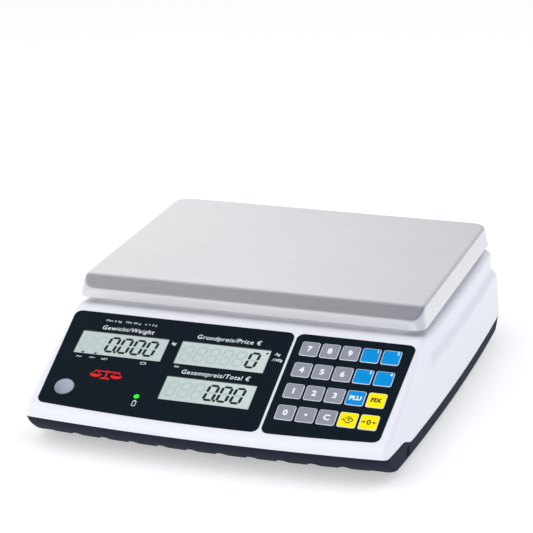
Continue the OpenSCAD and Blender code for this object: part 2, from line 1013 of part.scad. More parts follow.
weighing_pan();
spider_pads();
pan_spider();
spider_screws();
load_cell();
load_cell_spacer();
load_cell_screws();
overload_stop_screw();
overload_stop_nut();
top_cover();
base_tray();
case_screws();
display_overlay();
keypad_overlay();
keypad_circuit();
weight_lcd();
price_lcd();
total_lcd();
display_board();
level_vial();
charge_led();
main_board();
battery();
battery_strap();
battery_door();
power_rocker();
power_switch_body();
power_inlet();
rear_window();
rear_lcds();
rear_board();
for (i = [0 : 3]) {
    foot_screw(i);
    foot_pad(i);
}
for (i = [0 : key_cols * key_rows - 1])
    key(i);
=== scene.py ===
"""Looks of a counter-top retail price scale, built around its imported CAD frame."""

import json
import logging
import math
from dataclasses import dataclass, field
from enum import Enum
from typing import Callable, Iterable, Sequence, Union

import bmesh
import bpy
import numpy as np
from mathutils import Matrix, Vector

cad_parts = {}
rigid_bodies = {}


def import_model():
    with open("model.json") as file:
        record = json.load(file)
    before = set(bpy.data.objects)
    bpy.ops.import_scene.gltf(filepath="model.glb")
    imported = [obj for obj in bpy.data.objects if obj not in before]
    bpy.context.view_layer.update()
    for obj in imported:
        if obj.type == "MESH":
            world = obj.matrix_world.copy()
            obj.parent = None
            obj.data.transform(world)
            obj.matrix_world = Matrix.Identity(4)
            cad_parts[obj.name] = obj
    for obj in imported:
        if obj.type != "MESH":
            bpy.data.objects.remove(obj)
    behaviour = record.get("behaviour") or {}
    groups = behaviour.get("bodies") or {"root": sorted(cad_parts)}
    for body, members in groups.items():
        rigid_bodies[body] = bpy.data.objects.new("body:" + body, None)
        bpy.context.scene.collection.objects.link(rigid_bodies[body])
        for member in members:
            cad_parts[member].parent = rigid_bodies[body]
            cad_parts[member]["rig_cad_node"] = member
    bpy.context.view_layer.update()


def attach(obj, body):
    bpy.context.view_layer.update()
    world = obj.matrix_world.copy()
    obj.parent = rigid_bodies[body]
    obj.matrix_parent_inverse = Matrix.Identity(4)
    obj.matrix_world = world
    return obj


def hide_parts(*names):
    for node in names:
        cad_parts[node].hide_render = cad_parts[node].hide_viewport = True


LOG = logging.getLogger("price_scale")
MM = 0.001
Pair = tuple[float, float]
Point = tuple[float, float, float]
Colour = tuple[float, float, float]
Spot = tuple[float, float, float, float, float, float]
Form = Callable[[np.ndarray], np.ndarray]

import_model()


def linear(red: int, green: int, blue: int) -> Colour:
    """Turns a display colour into scene-linear values.

    Args:
        red: Red, 0 to 255.
        green: Green, 0 to 255.
        blue: Blue, 0 to 255.

    Returns:
        The three linear values.
    """
    def one(level: int) -> float:
        """Returns one channel's linear value."""
        share = level / 255
        return share / 12.92 if share <= 0.04045 else ((share + 0.055) / 1.055) ** 2.4

    return one(red), one(green), one(blue)


# ---------------------------------------------------------------- shader trees


class Wire:
    """One socket of a shader tree; arithmetic on it adds Math nodes."""

    def __init__(self, bench: "Bench", socket: bpy.types.NodeSocket) -> None:
        """Keeps the socket and the tree that it belongs to."""
        self.bench = bench
        self.socket = socket

    def _math(self, operation: str, first: "Value", second: "Value") -> "Wire":
        """Returns the result of one Math node."""
        return self.bench.node("ShaderNodeMath", {"operation": operation}, {0: first, 1: second})

    def __add__(self, other: "Value") -> "Wire":
        """Returns the sum."""
        return self._math("ADD", self, other)

    def __sub__(self, other: "Value") -> "Wire":
        """Returns the difference."""
        return self._math("SUBTRACT", self, other)

    def __rsub__(self, other: "Value") -> "Wire":
        """Returns the difference, with the plain number first."""
        return self._math("SUBTRACT", other, self)

    def __mul__(self, other: "Value") -> "Wire":
        """Returns the product."""
        return self._math("MULTIPLY", self, other)

    __radd__ = __add__
    __rmul__ = __mul__

    def between(self, low: float, high: float) -> "Wire":
        """Returns 0 below low, 1 above high and a straight ramp between.

        Args:
            low: The value that gives 0.
            high: The value that gives 1.

        Returns:
            The ramp's value.
        """
        return self.bench.node(
            "ShaderNodeMapRange", {"clamp": True},
            {"Value": self, "From Min": low, "From Max": high},
        )


Value = Union[Wire, float, int]


class Bench:
    """Builds one material's node tree."""

    def __init__(self, name: str) -> None:
        """Starts an empty material with a Principled shader.

        Args:
            name: The material's name.
        """
        self.material = bpy.data.materials.new(name)
        self.material.use_nodes = True
        self.tree = self.material.node_tree
        self.tree.nodes.clear()
        self.output = self.tree.nodes.new("ShaderNodeOutputMaterial")
        self.shader = self.tree.nodes.new("ShaderNodeBsdfPrincipled")
        self.tree.links.new(self.shader.outputs[0], self.output.inputs["Surface"])

    def put(self, socket: bpy.types.NodeSocket, value: object) -> None:
        """Links a wire to a socket, or sets the socket's own value.

        Args:
            socket: The socket.
            value: A wire, a number, a colour or a vector.
        """
        if isinstance(value, Wire):
            self.tree.links.new(value.socket, socket)
        elif isinstance(value, tuple) and len(value) == 3 and socket.type == "RGBA":
            socket.default_value = (*value, 1.0)
        else:
            socket.default_value = value

    def node(
        self, kind: str, settings: dict[str, object] | None = None,
        inputs: dict[str | int, object] | None = None, out: str | int = 0,
    ) -> Wire:
        """Adds a node.

        Args:
            kind: The node's type.
            settings: Its settings, set before its sockets.
            inputs: Values or wires, by socket name or number.
            out: Which output to return.

        Returns:
            The chosen output.
        """
        made = self.tree.nodes.new(kind)
        for key, value in (settings or {}).items():
            setattr(made, key, value)
        for key, value in (inputs or {}).items():
            self.put(made.inputs[key], value)
        return Wire(self, made.outputs[out])

    def place(self, scale: Point = (1, 1, 1)) -> Wire:
        """Returns object coordinates, stretched by scale."""
        where = self.node("ShaderNodeTexCoord", out="Object")
        return self.node("ShaderNodeMapping", inputs={"Vector": where, "Scale": scale})

    def noise(self, scale: float, stretch: Point = (1, 1, 1), detail: float = 3.0) -> Wire:
        """Returns a noise value from 0 to 1 with the given scale per metre.

        Args:
            scale: Cells per metre.
            stretch: Scale along each axis.
            detail: Number of octaves.

        Returns:
            The noise.
        """
        return self.node(
            "ShaderNodeTexNoise", {"noise_dimensions": "3D"},
            {"Vector": self.place(stretch), "Scale": scale, "Detail": detail},
        )

    def blend(self, share: Value, first: object, second: object) -> Wire:
        """Returns a mix of two colours.

        Args:
            share: How much of the second, 0 to 1.
            first: A colour or a wire.
            second: Another.

        Returns:
            The mixed colour.
        """
        made = self.tree.nodes.new("ShaderNodeMix")
        made.data_type = "RGBA"
        self.put(made.inputs[0], share)
        self.put(made.inputs[6], first)
        self.put(made.inputs[7], second)
        return Wire(self, made.outputs[2])

    def bump(self, height: Wire, distance: float, strength: float = 1.0) -> None:
        """Feeds a height, in metres times distance, to the shader's normal.

        Args:
            height: The height, from 0 to 1.
            distance: What a height of 1 stands for, in metres.
            strength: Share of the effect.
        """
        normal = self.node(
            "ShaderNodeBump", inputs={"Strength": strength, "Distance": distance, "Height": height}
        )
        self.put(self.shader.inputs["Normal"], normal)

    def set(self, **values: object) -> None:
        """Sets the shader's sockets; an underscore stands for a space."""
        for key, value in values.items():
            self.put(self.shader.inputs[key.replace("_", " ")], value)


@dataclass(frozen=True)
class Finish:
    """A surface finish. Each kind says how its material is built."""

    name: str
    colour: Colour

    def build(self, bench: Bench) -> None:
        """Wires the finish into the bench's tree."""
        raise NotImplementedError

    def material(self) -> bpy.types.Material:
        """Returns the finish's material, made once.

        Returns:
            The material.
        """
        found = bpy.data.materials.get(self.name)
        if found is None:
            bench = Bench(self.name)
            self.build(bench)
            found = bench.material
        return found


@dataclass(frozen=True)
class Moulding(Finish):
    """Injection-moulded plastic with a fine spark-eroded grain."""

    roughness: float = 0.4
    grain: float = 0.00003
    mottle: float = 0.04
    gloss: float = 0.5

    def build(self, bench: Bench) -> None:
        """Wires colour mottle, grain and uneven gloss.

        Args:
            bench: The tree that is wired.
        """
        cloud = bench.noise(14)
        grain = bench.noise(2600, detail=2.0)
        dark = tuple(c * (1 - self.mottle) for c in self.colour)
        bench.set(
            Base_Color=bench.blend(cloud, dark, self.colour),
            Roughness=self.roughness + (cloud - 0.5) * 0.08 + (grain - 0.5) * 0.06,
            Specular_IOR_Level=self.gloss,
        )
        bench.bump(grain, self.grain)


@dataclass(frozen=True)
class BrushedSteel(Finish):
    """Stainless sheet brushed along X."""

    roughness: float = 0.3

    def build(self, bench: Bench) -> None:
        """Wires long fine scratches and broad cloudiness.

        Args:
            bench: The tree that is wired.
        """
        fine = bench.noise(1800, (0.012, 1, 1), 4.0)
        coarse = bench.noise(420, (0.02, 1, 1), 2.0)
        cloud = bench.noise(7, (0.6, 1, 1))
        grain = fine * 0.6 + coarse * 0.4
        dark = tuple(c * 0.86 for c in self.colour)
        bench.set(
            Base_Color=bench.blend(grain.between(0.3, 0.7), dark, self.colour),
            Metallic=1.0,
            Roughness=self.roughness + (grain - 0.5) * 0.16 + (cloud - 0.5) * 0.1,
        )
        bench.bump(grain, 0.00002, 0.6)


@dataclass(frozen=True)
class BareMetal(Finish):
    """Cast, machined or plated metal inside the scale and on its screws."""

    roughness: float = 0.35
    grain_scale: float = 900
    stretch: Point = (1, 1, 1)
    grain: float = 0.00004

    def build(self, bench: Bench) -> None:
        """Wires the metal's grain and a slight patina.

        Args:
            bench: The tree that is wired.
        """
        grain = bench.noise(self.grain_scale, self.stretch)
        patina = bench.noise(40)
        dark = tuple(c * 0.72 for c in self.colour)
        bench.set(
            Base_Color=bench.blend(patina.between(0.25, 0.75), dark, self.colour),
            Metallic=1.0,
            Roughness=self.roughness + (grain - 0.5) * 0.2,
        )
        bench.bump(grain, self.grain)


@dataclass(frozen=True)
class PrintedFilm(Finish):
    """Polyester overlay film, printed from behind, with a fine velvet face."""

    roughness: float = 0.4
    velvet: float = 0.000012
    gloss: float = 0.25

    def build(self, bench: Bench) -> None:
        """Wires the ink's slight unevenness and the film's velvet grain.

        Args:
            bench: The tree that is wired.
        """
        velvet = bench.noise(3800, detail=1.0)
        ink = bench.noise(60)
        light = tuple(min(1.0, c * 1.12 + 0.002) for c in self.colour)
        bench.set(
            Base_Color=bench.blend(ink, self.colour, light),
            Roughness=self.roughness + (velvet - 0.5) * 0.1,
            Specular_IOR_Level=self.gloss,
        )
        bench.bump(velvet, self.velvet)


@dataclass(frozen=True)
class DisplayGlass(Finish):
    """Glass over a pale reflector, with painted light: its colour grows lighter along a slope."""

    # light is the lighter end of the painted light gradient; slope and span set its direction and extent.
    light: Colour = (0.6, 0.66, 0.64)
    slope: Point = (1.0, 0.0, 0.0)
    span: Pair = (-0.06, 0.1)
    coat: float = 0.35

    def build(self, bench: Bench) -> None:
        """Wires a painted light gradient across the glass and the reflector's sparkle.

        Args:
            bench: The tree that is wired.
        """
        where = bench.node("ShaderNodeTexCoord", out="Object")
        along = bench.node(
            "ShaderNodeVectorMath", {"operation": "DOT_PRODUCT"}, {0: where, 1: self.slope}, out="Value"
        )
        sparkle = bench.noise(2200, detail=1.0)
        # Painted light: a gradient along the slope, plus a little of the reflector's sparkle.
        share = along.between(*self.span) * 0.8 + sparkle * 0.2
        bench.set(
            Base_Color=bench.blend(share, self.colour, self.light),
            Roughness=0.34 + (sparkle - 0.5) * 0.06,
            Coat_Weight=self.coat,
            Coat_Roughness=0.12,
        )


@dataclass(frozen=True)
class Lamp(Finish):
    """A small lit lens."""

    glow: float = 2.0

    def build(self, bench: Bench) -> None:
        """Wires a lens that glows a little unevenly.

        Args:
            bench: The tree that is wired.
        """
        cells = bench.noise(900)
        pale = tuple(min(1.0, c * 1.4 + 0.01) for c in self.colour)
        bench.set(
            Base_Color=bench.blend(cells * 0.4, pale, self.colour),
            Emission_Color=bench.blend(cells, self.colour, pale),
            Emission_Strength=self.glow,
            Roughness=0.25,
        )


@dataclass(frozen=True)
class Rubber(Finish):
    """Matt moulded rubber."""

    def build(self, bench: Bench) -> None:
        """Wires dusty patches over a pebbled face.

        Args:
            bench: The tree that is wired.
        """
        dust = bench.noise(90)
        pebble = bench.noise(1500)
        grey = tuple(c * 1.9 + 0.01 for c in self.colour)
        bench.set(
            Base_Color=bench.blend(dust.between(0.45, 0.9), self.colour, grey),
            Roughness=0.72 + (pebble - 0.5) * 0.2,
        )
        bench.bump(pebble, 0.00008)


@dataclass(frozen=True)
class SolderMask(Finish):
    """Green circuit board with faint copper tracks under the mask."""

    def build(self, bench: Bench) -> None:
        """Wires straight tracks that show through the mask.

        Args:
            bench: The tree that is wired.
        """
        tracks = bench.node(
            "ShaderNodeTexBrick", {"offset": 0.37},
            {"Vector": bench.place(), "Scale": 160.0, "Mortar Size": 0.06, "Mortar Smooth": 0.2},
            out="Fac",
        )
        pale = tuple(c * 1.8 + 0.01 for c in self.colour)
        bench.set(Base_Color=bench.blend(tracks, pale, self.colour), Roughness=0.3 + tracks * 0.1)
        bench.bump(tracks, 0.00006)


class Finishes:
    """Every finish on the scale."""

    PAN = BrushedSteel("pan_steel", linear(228, 228, 230), 0.32)
    COVER = Moulding("cover_moulding", linear(235, 235, 241), 0.33)
    BASE = Moulding("base_moulding", linear(24, 33, 50), 0.68, 0.00006, 0.12, 0.12)
    BLACK_PART = Moulding("black_moulding", linear(28, 29, 32), 0.38, 0.00005, 0.1)
    OVERLAY = PrintedFilm("overlay_film", linear(10, 22, 30), 0.42, 0.000012, 0.06)
    KEY_GREY = PrintedFilm("key_film_grey", linear(138, 140, 153), 0.4)
    KEY_BLUE = PrintedFilm("key_film_blue", linear(0, 138, 208), 0.4, 0.000012, 0.1)
    KEY_YELLOW = PrintedFilm("key_film_yellow", linear(246, 226, 0), 0.4, 0.000012, 0.1)
    KEY_EDGE = PrintedFilm("key_film_edge", linear(216, 220, 226), 0.4)
    INK_WHITE = PrintedFilm("ink_white", linear(236, 240, 242), 0.45)
    INK_BLACK = PrintedFilm("ink_black", linear(16, 20, 22), 0.45)
    INK_RED = PrintedFilm("ink_red", linear(228, 22, 20), 0.45)
    # Both display glasses: their own greenish grey, with a painted light gradient that is lighter towards the
    # right of the scale.
    GLASS = DisplayGlass("display_glass", linear(188, 200, 197), linear(212, 220, 218))
    REAR_GLASS = DisplayGlass("rear_display_glass", linear(150, 166, 160), linear(176, 190, 184))
    SEGMENT = PrintedFilm("segment_dark", linear(22, 28, 28), 0.3)
    GHOST = PrintedFilm("segment_ghost", linear(176, 190, 185), 0.34)
    # Painted shadow: a dark frame standing in for the shade at a display window's edges.
    GASKET = PrintedFilm("display_painted_recess_shadow", linear(92, 104, 104), 0.5)
    # Level lens: its own grey-lavender, with painted shade and highlight, darker at the lower left and
    # lighter at the upper right.
    LEVEL = DisplayGlass(
        "level_lens_painted_shade", linear(104, 106, 124), linear(186, 190, 206),
        slope=(0.7, 0.25, 0.25), span=(-0.1193, -0.1073), coat=0.6,
    )
    GREEN = Lamp("charge_lamp", linear(0, 205, 8), 0.55)
    CAST = BareMetal("cast_aluminium", linear(186, 189, 194), 0.48, 700, (1, 1, 1), 0.0001)
    MILLED = BareMetal("milled_aluminium", linear(200, 203, 208), 0.3, 1200, (1, 0.05, 1))
    ZINC = BareMetal("zinc_plate", linear(178, 181, 188), 0.3, 600, (1, 1, 0.1))
    RUBBER = Rubber("moulded_rubber", linear(30, 31, 34))
    BOARD = SolderMask("board_mask", linear(30, 92, 52))
    REAR_FILM = PrintedFilm("rear_film", linear(24, 30, 36), 0.3)


# ---------------------------------------------------------------- mesh helpers


def new_piece(name: str, mesh: bpy.types.Mesh, finishes: Sequence[Finish]) -> bpy.types.Object:
    """Puts a mesh into the scene with its materials.

    Args:
        name: The piece's name.
        mesh: Its mesh, already in place.
        finishes: One finish for each material slot.

    Returns:
        The new object.
    """
    piece = bpy.data.objects.new(name, mesh)
    bpy.context.scene.collection.objects.link(piece)
    if mesh.materials:
        mesh.materials.clear()
    for finish in finishes:
        mesh.materials.append(finish.material())
    LOG.info("%s: %d faces", name, len(mesh.polygons))
    return piece


def mesh_of(name: str, points: Iterable, faces: Iterable) -> bpy.types.Mesh:
    """Returns a mesh made from points in metres and faces.

    Args:
        name: The mesh's name.
        points: Points in metres.
        faces: Point numbers of each face.

    Returns:
        The mesh.
    """
    mesh = bpy.data.meshes.new(name)
    mesh.from_pydata([tuple(p) for p in points], [], [tuple(f) for f in faces])
    mesh.update()
    return mesh


def soften(piece: bpy.types.Object, degrees: float = 35) -> None:
    """Shades a piece smooth, with edges sharper than the angle kept crisp."""
    piece.data.shade_smooth()
    piece.data.set_sharp_from_angle(angle=math.radians(degrees))


def recalculated(mesh: bpy.types.Mesh) -> bpy.types.Mesh:
    """Merges doubles, turns all faces outwards and returns the mesh.

    Args:
        mesh: A closed mesh.

    Returns:
        The same mesh, mended.
    """
    work = bmesh.new()
    work.from_mesh(mesh)
    bmesh.ops.remove_doubles(work, verts=work.verts, dist=1e-7)
    bmesh.ops.recalc_face_normals(work, faces=work.faces)
    work.to_mesh(mesh)
    work.free()
    return mesh


def evaluated(piece: bpy.types.Object) -> None:
    """Applies a piece's modifiers to its mesh.

    Args:
        piece: The piece.
    """
    finishes = list(piece.data.materials)
    graph = bpy.context.evaluated_depsgraph_get()
    graph.update()
    plain = bpy.data.meshes.new_from_object(piece.evaluated_get(graph))
    piece.modifiers.clear()
    piece.data = plain
    if not plain.materials:
        for finish in finishes:
            plain.materials.append(finish)


def carve(piece: bpy.types.Object, cutters: Sequence[bpy.types.Mesh]) -> None:
    """Cuts closed meshes out of a piece.

    Args:
        piece: The closed piece that is cut.
        cutters: Closed meshes that don't touch each other.
    """
    work = bmesh.new()
    for cutter in cutters:
        work.from_mesh(cutter)
    tool_mesh = bpy.data.meshes.new("cutter")
    work.to_mesh(tool_mesh)
    work.free()
    tool = bpy.data.objects.new("cutter", recalculated(tool_mesh))
    bpy.context.scene.collection.objects.link(tool)
    cut = piece.modifiers.new("cut", "BOOLEAN")
    cut.operation = "DIFFERENCE"
    cut.solver = "MANIFOLD"
    cut.object = tool
    evaluated(piece)
    bpy.data.objects.remove(tool)


def rounded_outline(width: float, height: float, radius: float, steps: int = 6) -> list[Pair]:
    """Returns the points of a rectangle with round corners, anticlockwise, about 0, 0.

    Args:
        width: Its size along X.
        height: Its size along Y.
        radius: Radius of its corners.
        steps: Lines to a corner.

    Returns:
        The points, in the units of the arguments.
    """
    points = []
    for quarter, (sx, sy) in enumerate([(1, 1), (-1, 1), (-1, -1), (1, -1)]):
        for step in range(steps + 1):
            turn = math.radians(90) * (quarter + step / steps)
            points.append((
                sx * (width / 2 - radius) + radius * math.cos(turn),
                sy * (height / 2 - radius) + radius * math.sin(turn),
            ))
    return points


def loft(name: str, rings: Sequence[Sequence[Point]]) -> bpy.types.Mesh:
    """Joins rings of equal length into a closed mesh, with flat ends.

    Args:
        name: The mesh's name.
        rings: Rings of points in metres, each anticlockwise.

    Returns:
        The closed mesh.
    """
    count = len(rings[0])
    points = [p for ring in rings for p in ring]
    faces = [tuple(reversed(range(count)))]
    for level in range(len(rings) - 1):
        low, high = level * count, (level + 1) * count
        for i in range(count):
            j = (i + 1) % count
            faces.append((low + i, low + j, high + j, high + i))
    faces.append(tuple(range(len(points) - count, len(points))))
    return mesh_of(name, points, faces)


def slab(
    name: str, outline: Sequence[Pair], low: float, high: float,
    place: Matrix, ease: float = 0.0,
) -> bpy.types.Mesh:
    """Extrudes an outline in millimetres, eases its top edge and puts it in place.

    Args:
        name: The mesh's name.
        outline: Points in millimetres, anticlockwise.
        low: Height of its bottom, in millimetres.
        high: Height of its top, in millimetres.
        place: Where the outline's own axes go.
        ease: Radius of the rounding on the top edge, in millimetres.

    Returns:
        The closed mesh.
    """
    centre = np.mean(outline, axis=0)
    reach = np.array(outline) - centre
    size = np.abs(reach).max(axis=0)
    levels = [(low, 0.0)]
    steps = 5 if ease else 0
    levels.append((high - ease, 0.0))
    for step in range(1, steps + 1):
        turn = math.radians(90) * step / steps
        levels.append((high - ease + ease * math.sin(turn), ease * (1 - math.cos(turn))))
    rings = []
    for height, inset in levels:
        ring = centre + reach * (1 - inset / size)
        rings.append([place @ Vector((x * MM, y * MM, height * MM)) for x, y in ring])
    if not ease:
        rings = [rings[0], rings[-1]]
    return loft(name, rings)


def turned(name: str, profile: Sequence[Pair], place: Matrix, sides: int = 48) -> bpy.types.Mesh:
    """Spins a profile of radius and height, in millimetres, into a closed mesh.

    Args:
        name: The mesh's name.
        profile: Radius and height of each ring, from the bottom up.
        place: Where its own axes go.
        sides: Number of flats round it.

    Returns:
        The closed mesh.
    """
    rings = []
    for radius, height in profile:
        rings.append([
            place @ Vector((
                max(radius, 0.01) * MM * math.cos(math.tau * i / sides),
                max(radius, 0.01) * MM * math.sin(math.tau * i / sides),
                height * MM,
            ))
            for i in range(sides)
        ])
    return loft(name, rings)


def joined(name: str, meshes: Sequence[bpy.types.Mesh]) -> bpy.types.Mesh:
    """Returns several meshes as one, keeping their material numbers.

    Args:
        name: The new mesh's name.
        meshes: The meshes, in order.

    Returns:
        The new mesh.
    """
    work = bmesh.new()
    for mesh in meshes:
        work.from_mesh(mesh)
    whole = bpy.data.meshes.new(name)
    work.to_mesh(whole)
    work.free()
    return whole


def painted(mesh: bpy.types.Mesh, number: int) -> bpy.types.Mesh:
    """Gives all of a mesh's faces one material number."""
    mesh.polygons.foreach_set("material_index", [number] * len(mesh.polygons))
    return mesh


# ---------------------------------------------------------------- repeated parts


class Scatter:
    """A Geometry Nodes tree that repeats one small bar on the points of a mesh.

    Each point's "turn" turns its copy about Z; "stretch" and "girth" scale its length and width.
    """

    def __init__(self) -> None:
        """Builds the tree."""
        self.tree = bpy.data.node_groups.new("scatter_bar", "GeometryNodeTree")
        face = self.tree.interface
        face.new_socket("Geometry", in_out="INPUT", socket_type="NodeSocketGeometry")
        for name in ("Length", "Width", "Height"):
            face.new_socket(name, in_out="INPUT", socket_type="NodeSocketFloat")
        face.new_socket("Finish", in_out="INPUT", socket_type="NodeSocketMaterial")
        face.new_socket("Geometry", in_out="OUTPUT", socket_type="NodeSocketGeometry")
        start, end = self._add("NodeGroupInput"), self._add("NodeGroupOutput")
        part = self._add("GeometryNodeMeshCube")
        size, about = self._add("ShaderNodeCombineXYZ"), self._add("ShaderNodeCombineXYZ")
        longer, wider = (self._add("ShaderNodeMath", operation="MULTIPLY") for _ in range(2))
        read = {}
        for name in ("stretch", "girth", "turn"):
            reader = self._add("GeometryNodeInputNamedAttribute", data_type="FLOAT")
            reader.inputs["Name"].default_value = name
            read[name] = reader.outputs["Attribute"]
        copies = self._add("GeometryNodeInstanceOnPoints")
        real = self._add("GeometryNodeRealizeInstances")
        dress = self._add("GeometryNodeSetMaterial")
        for source, target in [
            (start.outputs["Length"], longer.inputs[0]),
            (read["stretch"], longer.inputs[1]),
            (longer.outputs[0], size.inputs["X"]),
            (start.outputs["Width"], wider.inputs[0]),
            (read["girth"], wider.inputs[1]),
            (wider.outputs[0], size.inputs["Y"]),
            (start.outputs["Height"], size.inputs["Z"]),
            (start.outputs["Geometry"], copies.inputs["Points"]),
            (part.outputs["Mesh"], copies.inputs["Instance"]),
            (read["turn"], about.inputs["Z"]),
            (about.outputs[0], copies.inputs["Rotation"]),
            (size.outputs[0], copies.inputs["Scale"]),
            (copies.outputs[0], real.inputs[0]),
            (real.outputs[0], dress.inputs["Geometry"]),
            (start.outputs["Finish"], dress.inputs["Material"]),
            (dress.outputs[0], end.inputs[0]),
        ]:
            self.tree.links.new(source, target)

    def _add(self, kind: str, **settings: object) -> bpy.types.Node:
        """Returns a new node with its settings.

        Args:
            kind: The node's type.
            settings: Its settings by name.

        Returns:
            The node.
        """
        made = self.tree.nodes.new(kind)
        for key, value in settings.items():
            setattr(made, key, value)
        return made

    def mesh(
        self, name: str, spots: Sequence[Spot], size: Point, finish: Finish, place: Matrix,
    ) -> bpy.types.Mesh:
        """Repeats the bar and returns a plain mesh.

        Args:
            name: The mesh's name.
            spots: x, y, z in millimetres, turn in radians, stretch and girth, for each copy.
            size: Length, width and height of the bar, in millimetres.
            finish: The finish that the copies take.
            place: Where the spots' own axes go.

        Returns:
            The mesh, in place.
        """
        points = bpy.data.meshes.new(name + "_points")
        points.from_pydata([(x * MM, y * MM, z * MM) for x, y, z, *_ in spots], [], [])
        for key, column in (("turn", 3), ("stretch", 4), ("girth", 5)):
            values = points.attributes.new(key, "FLOAT", "POINT")
            values.data.foreach_set("value", [spot[column] for spot in spots])
        carrier = bpy.data.objects.new(name + "_carrier", points)
        bpy.context.scene.collection.objects.link(carrier)
        scatter = carrier.modifiers.new("scatter", "NODES")
        scatter.node_group = self.tree
        inputs = (item for item in self.tree.interface.items_tree if item.in_out == "INPUT")
        sockets = {item.name: item.identifier for item in inputs}
        for key, value in zip(("Length", "Width", "Height"), size):
            scatter[sockets[key]] = value * MM
        scatter[sockets["Finish"]] = finish.material()
        evaluated(carrier)
        made = carrier.data
        bpy.data.objects.remove(carrier)
        made.transform(place)
        return made


# ---------------------------------------------------------------- soft solid forms


def round_both(first: np.ndarray, second: np.ndarray, radius: np.ndarray | float) -> np.ndarray:
    """Distance to where two solids overlap, with the edge between them rounded."""
    inner = np.minimum(-radius, np.maximum(first, second))
    return inner + np.hypot(np.maximum(first + radius, 0), np.maximum(second + radius, 0))


def round_either(first: np.ndarray, second: np.ndarray, radius: float) -> np.ndarray:
    """Distance to two solids together, with a fillet between them."""
    outer = np.maximum(radius, np.minimum(first, second))
    return outer - np.hypot(np.maximum(radius - first, 0), np.maximum(radius - second, 0))


def ease_step(value: np.ndarray, start: float, end: float) -> np.ndarray:
    """Returns 0 before start, 1 after end and a smooth change between."""
    share = np.clip((value - start) / (end - start), 0, 1)
    return share * share * (3 - 2 * share)


def rectangle(x: np.ndarray, y: np.ndarray, half_x: float, half_y: float, radius: float) -> np.ndarray:
    """Distance to a rectangle with round corners."""
    return round_both(np.abs(x) - half_x, np.abs(y) - half_y, radius)


def cast(form: Form, origin: np.ndarray, targets: np.ndarray, reach: float = 1.6) -> np.ndarray:
    """Finds where rays from an origin leave a form.

    Args:
        form: Distance to the solid, negative inside, in millimetres.
        origin: Where all rays start, inside the form.
        targets: A point on each ray, near the surface.
        reach: How far past the target to look, as a multiple.

    Returns:
        The surface points, in millimetres.
    """
    near = np.zeros(len(targets))
    far = np.full(len(targets), reach)
    way = targets - origin
    for _ in range(34):
        middle = (near + far) / 2
        inside = form(origin + way * middle[:, None]) < 0
        near = np.where(inside, middle, near)
        far = np.where(inside, far, middle)
    return origin + way * near[:, None]


def skin(rings: np.ndarray, start: int, outward: bool, closed: bool) -> list[tuple[int, ...]]:
    """Returns the faces that join rings of points.

    Args:
        rings: Points as ring, place on the ring, coordinate.
        start: Number of the first point.
        outward: Which way the faces turn.
        closed: Whether the last ring is closed with one face.

    Returns:
        The faces.
    """
    levels, count = rings.shape[:2]
    faces: list[tuple[int, ...]] = []
    for level in range(levels - 1):
        low, high = start + level * count, start + (level + 1) * count
        for i in range(count):
            j = (i + 1) % count
            faces.append((low + i, low + j, high + j, high + i))
    if closed:
        faces.append(tuple(start + (levels - 1) * count + i for i in range(count)))
    return faces if outward else [tuple(reversed(face)) for face in faces]


def shell(
    name: str, outer: np.ndarray, inner: np.ndarray, finish: Finish, opens_down: bool,
) -> bpy.types.Object:
    """Joins an outer and an inner skin at their first rings into a closed piece.

    Args:
        name: The piece's name.
        outer: Rings of the outer skin, in millimetres.
        inner: Rings of the inner skin, with as many points to a ring.
        finish: The piece's finish.
        opens_down: True for a lid, whose rim is its bottom, and False for a tray.

    Returns:
        The new object.
    """
    count = outer.shape[1]
    start = outer.shape[0] * count
    faces = skin(outer, 0, opens_down, True) + skin(inner, start, not opens_down, True)
    for i in range(count):
        j = (i + 1) % count
        faces.append((i, start + i, start + j, j) if opens_down else (i, j, start + j, start + i))
    points = np.concatenate([outer.reshape(-1, 3), inner.reshape(-1, 3)]) * MM
    return new_piece(name, recalculated(mesh_of(name, points, faces)), [finish])


def crowded(count: int, first: float, last: float, both: bool = True) -> np.ndarray:
    """Returns values from first to last, closer together towards the ends.

    Args:
        count: How many values.
        first: The first value.
        last: The last value.
        both: False to crowd the last end only.

    Returns:
        The values.
    """
    share = np.linspace(0, 1, count)
    eased = (1 - np.cos(np.pi * share)) / 2 if both else np.sin(share * np.pi / 2)
    return first + (last - first) * eased


def walk_round(half_x: float, low_y: float, high_y: float, count: int) -> np.ndarray:
    """Returns points round a rectangle, anticlockwise, closer together at its corners.

    Args:
        half_x: Half the rectangle's width.
        low_y: Its front.
        high_y: Its back.
        count: Number of points, a multiple of four.

    Returns:
        The points as x and y.
    """
    per_side = count // 4
    share = np.sin(np.linspace(-1, 1, per_side, endpoint=False) * np.pi / 2)
    middle, half_y = (low_y + high_y) / 2, (high_y - low_y) / 2
    ones = np.ones(per_side)
    return np.concatenate([
        np.stack([half_x * share, low_y * ones], 1),
        np.stack([half_x * ones, middle + half_y * share], 1),
        np.stack([-half_x * share, high_y * ones], 1),
        np.stack([-half_x * ones, middle - half_y * share], 1),
    ])


# ---------------------------------------------------------------- the scale's own geometry


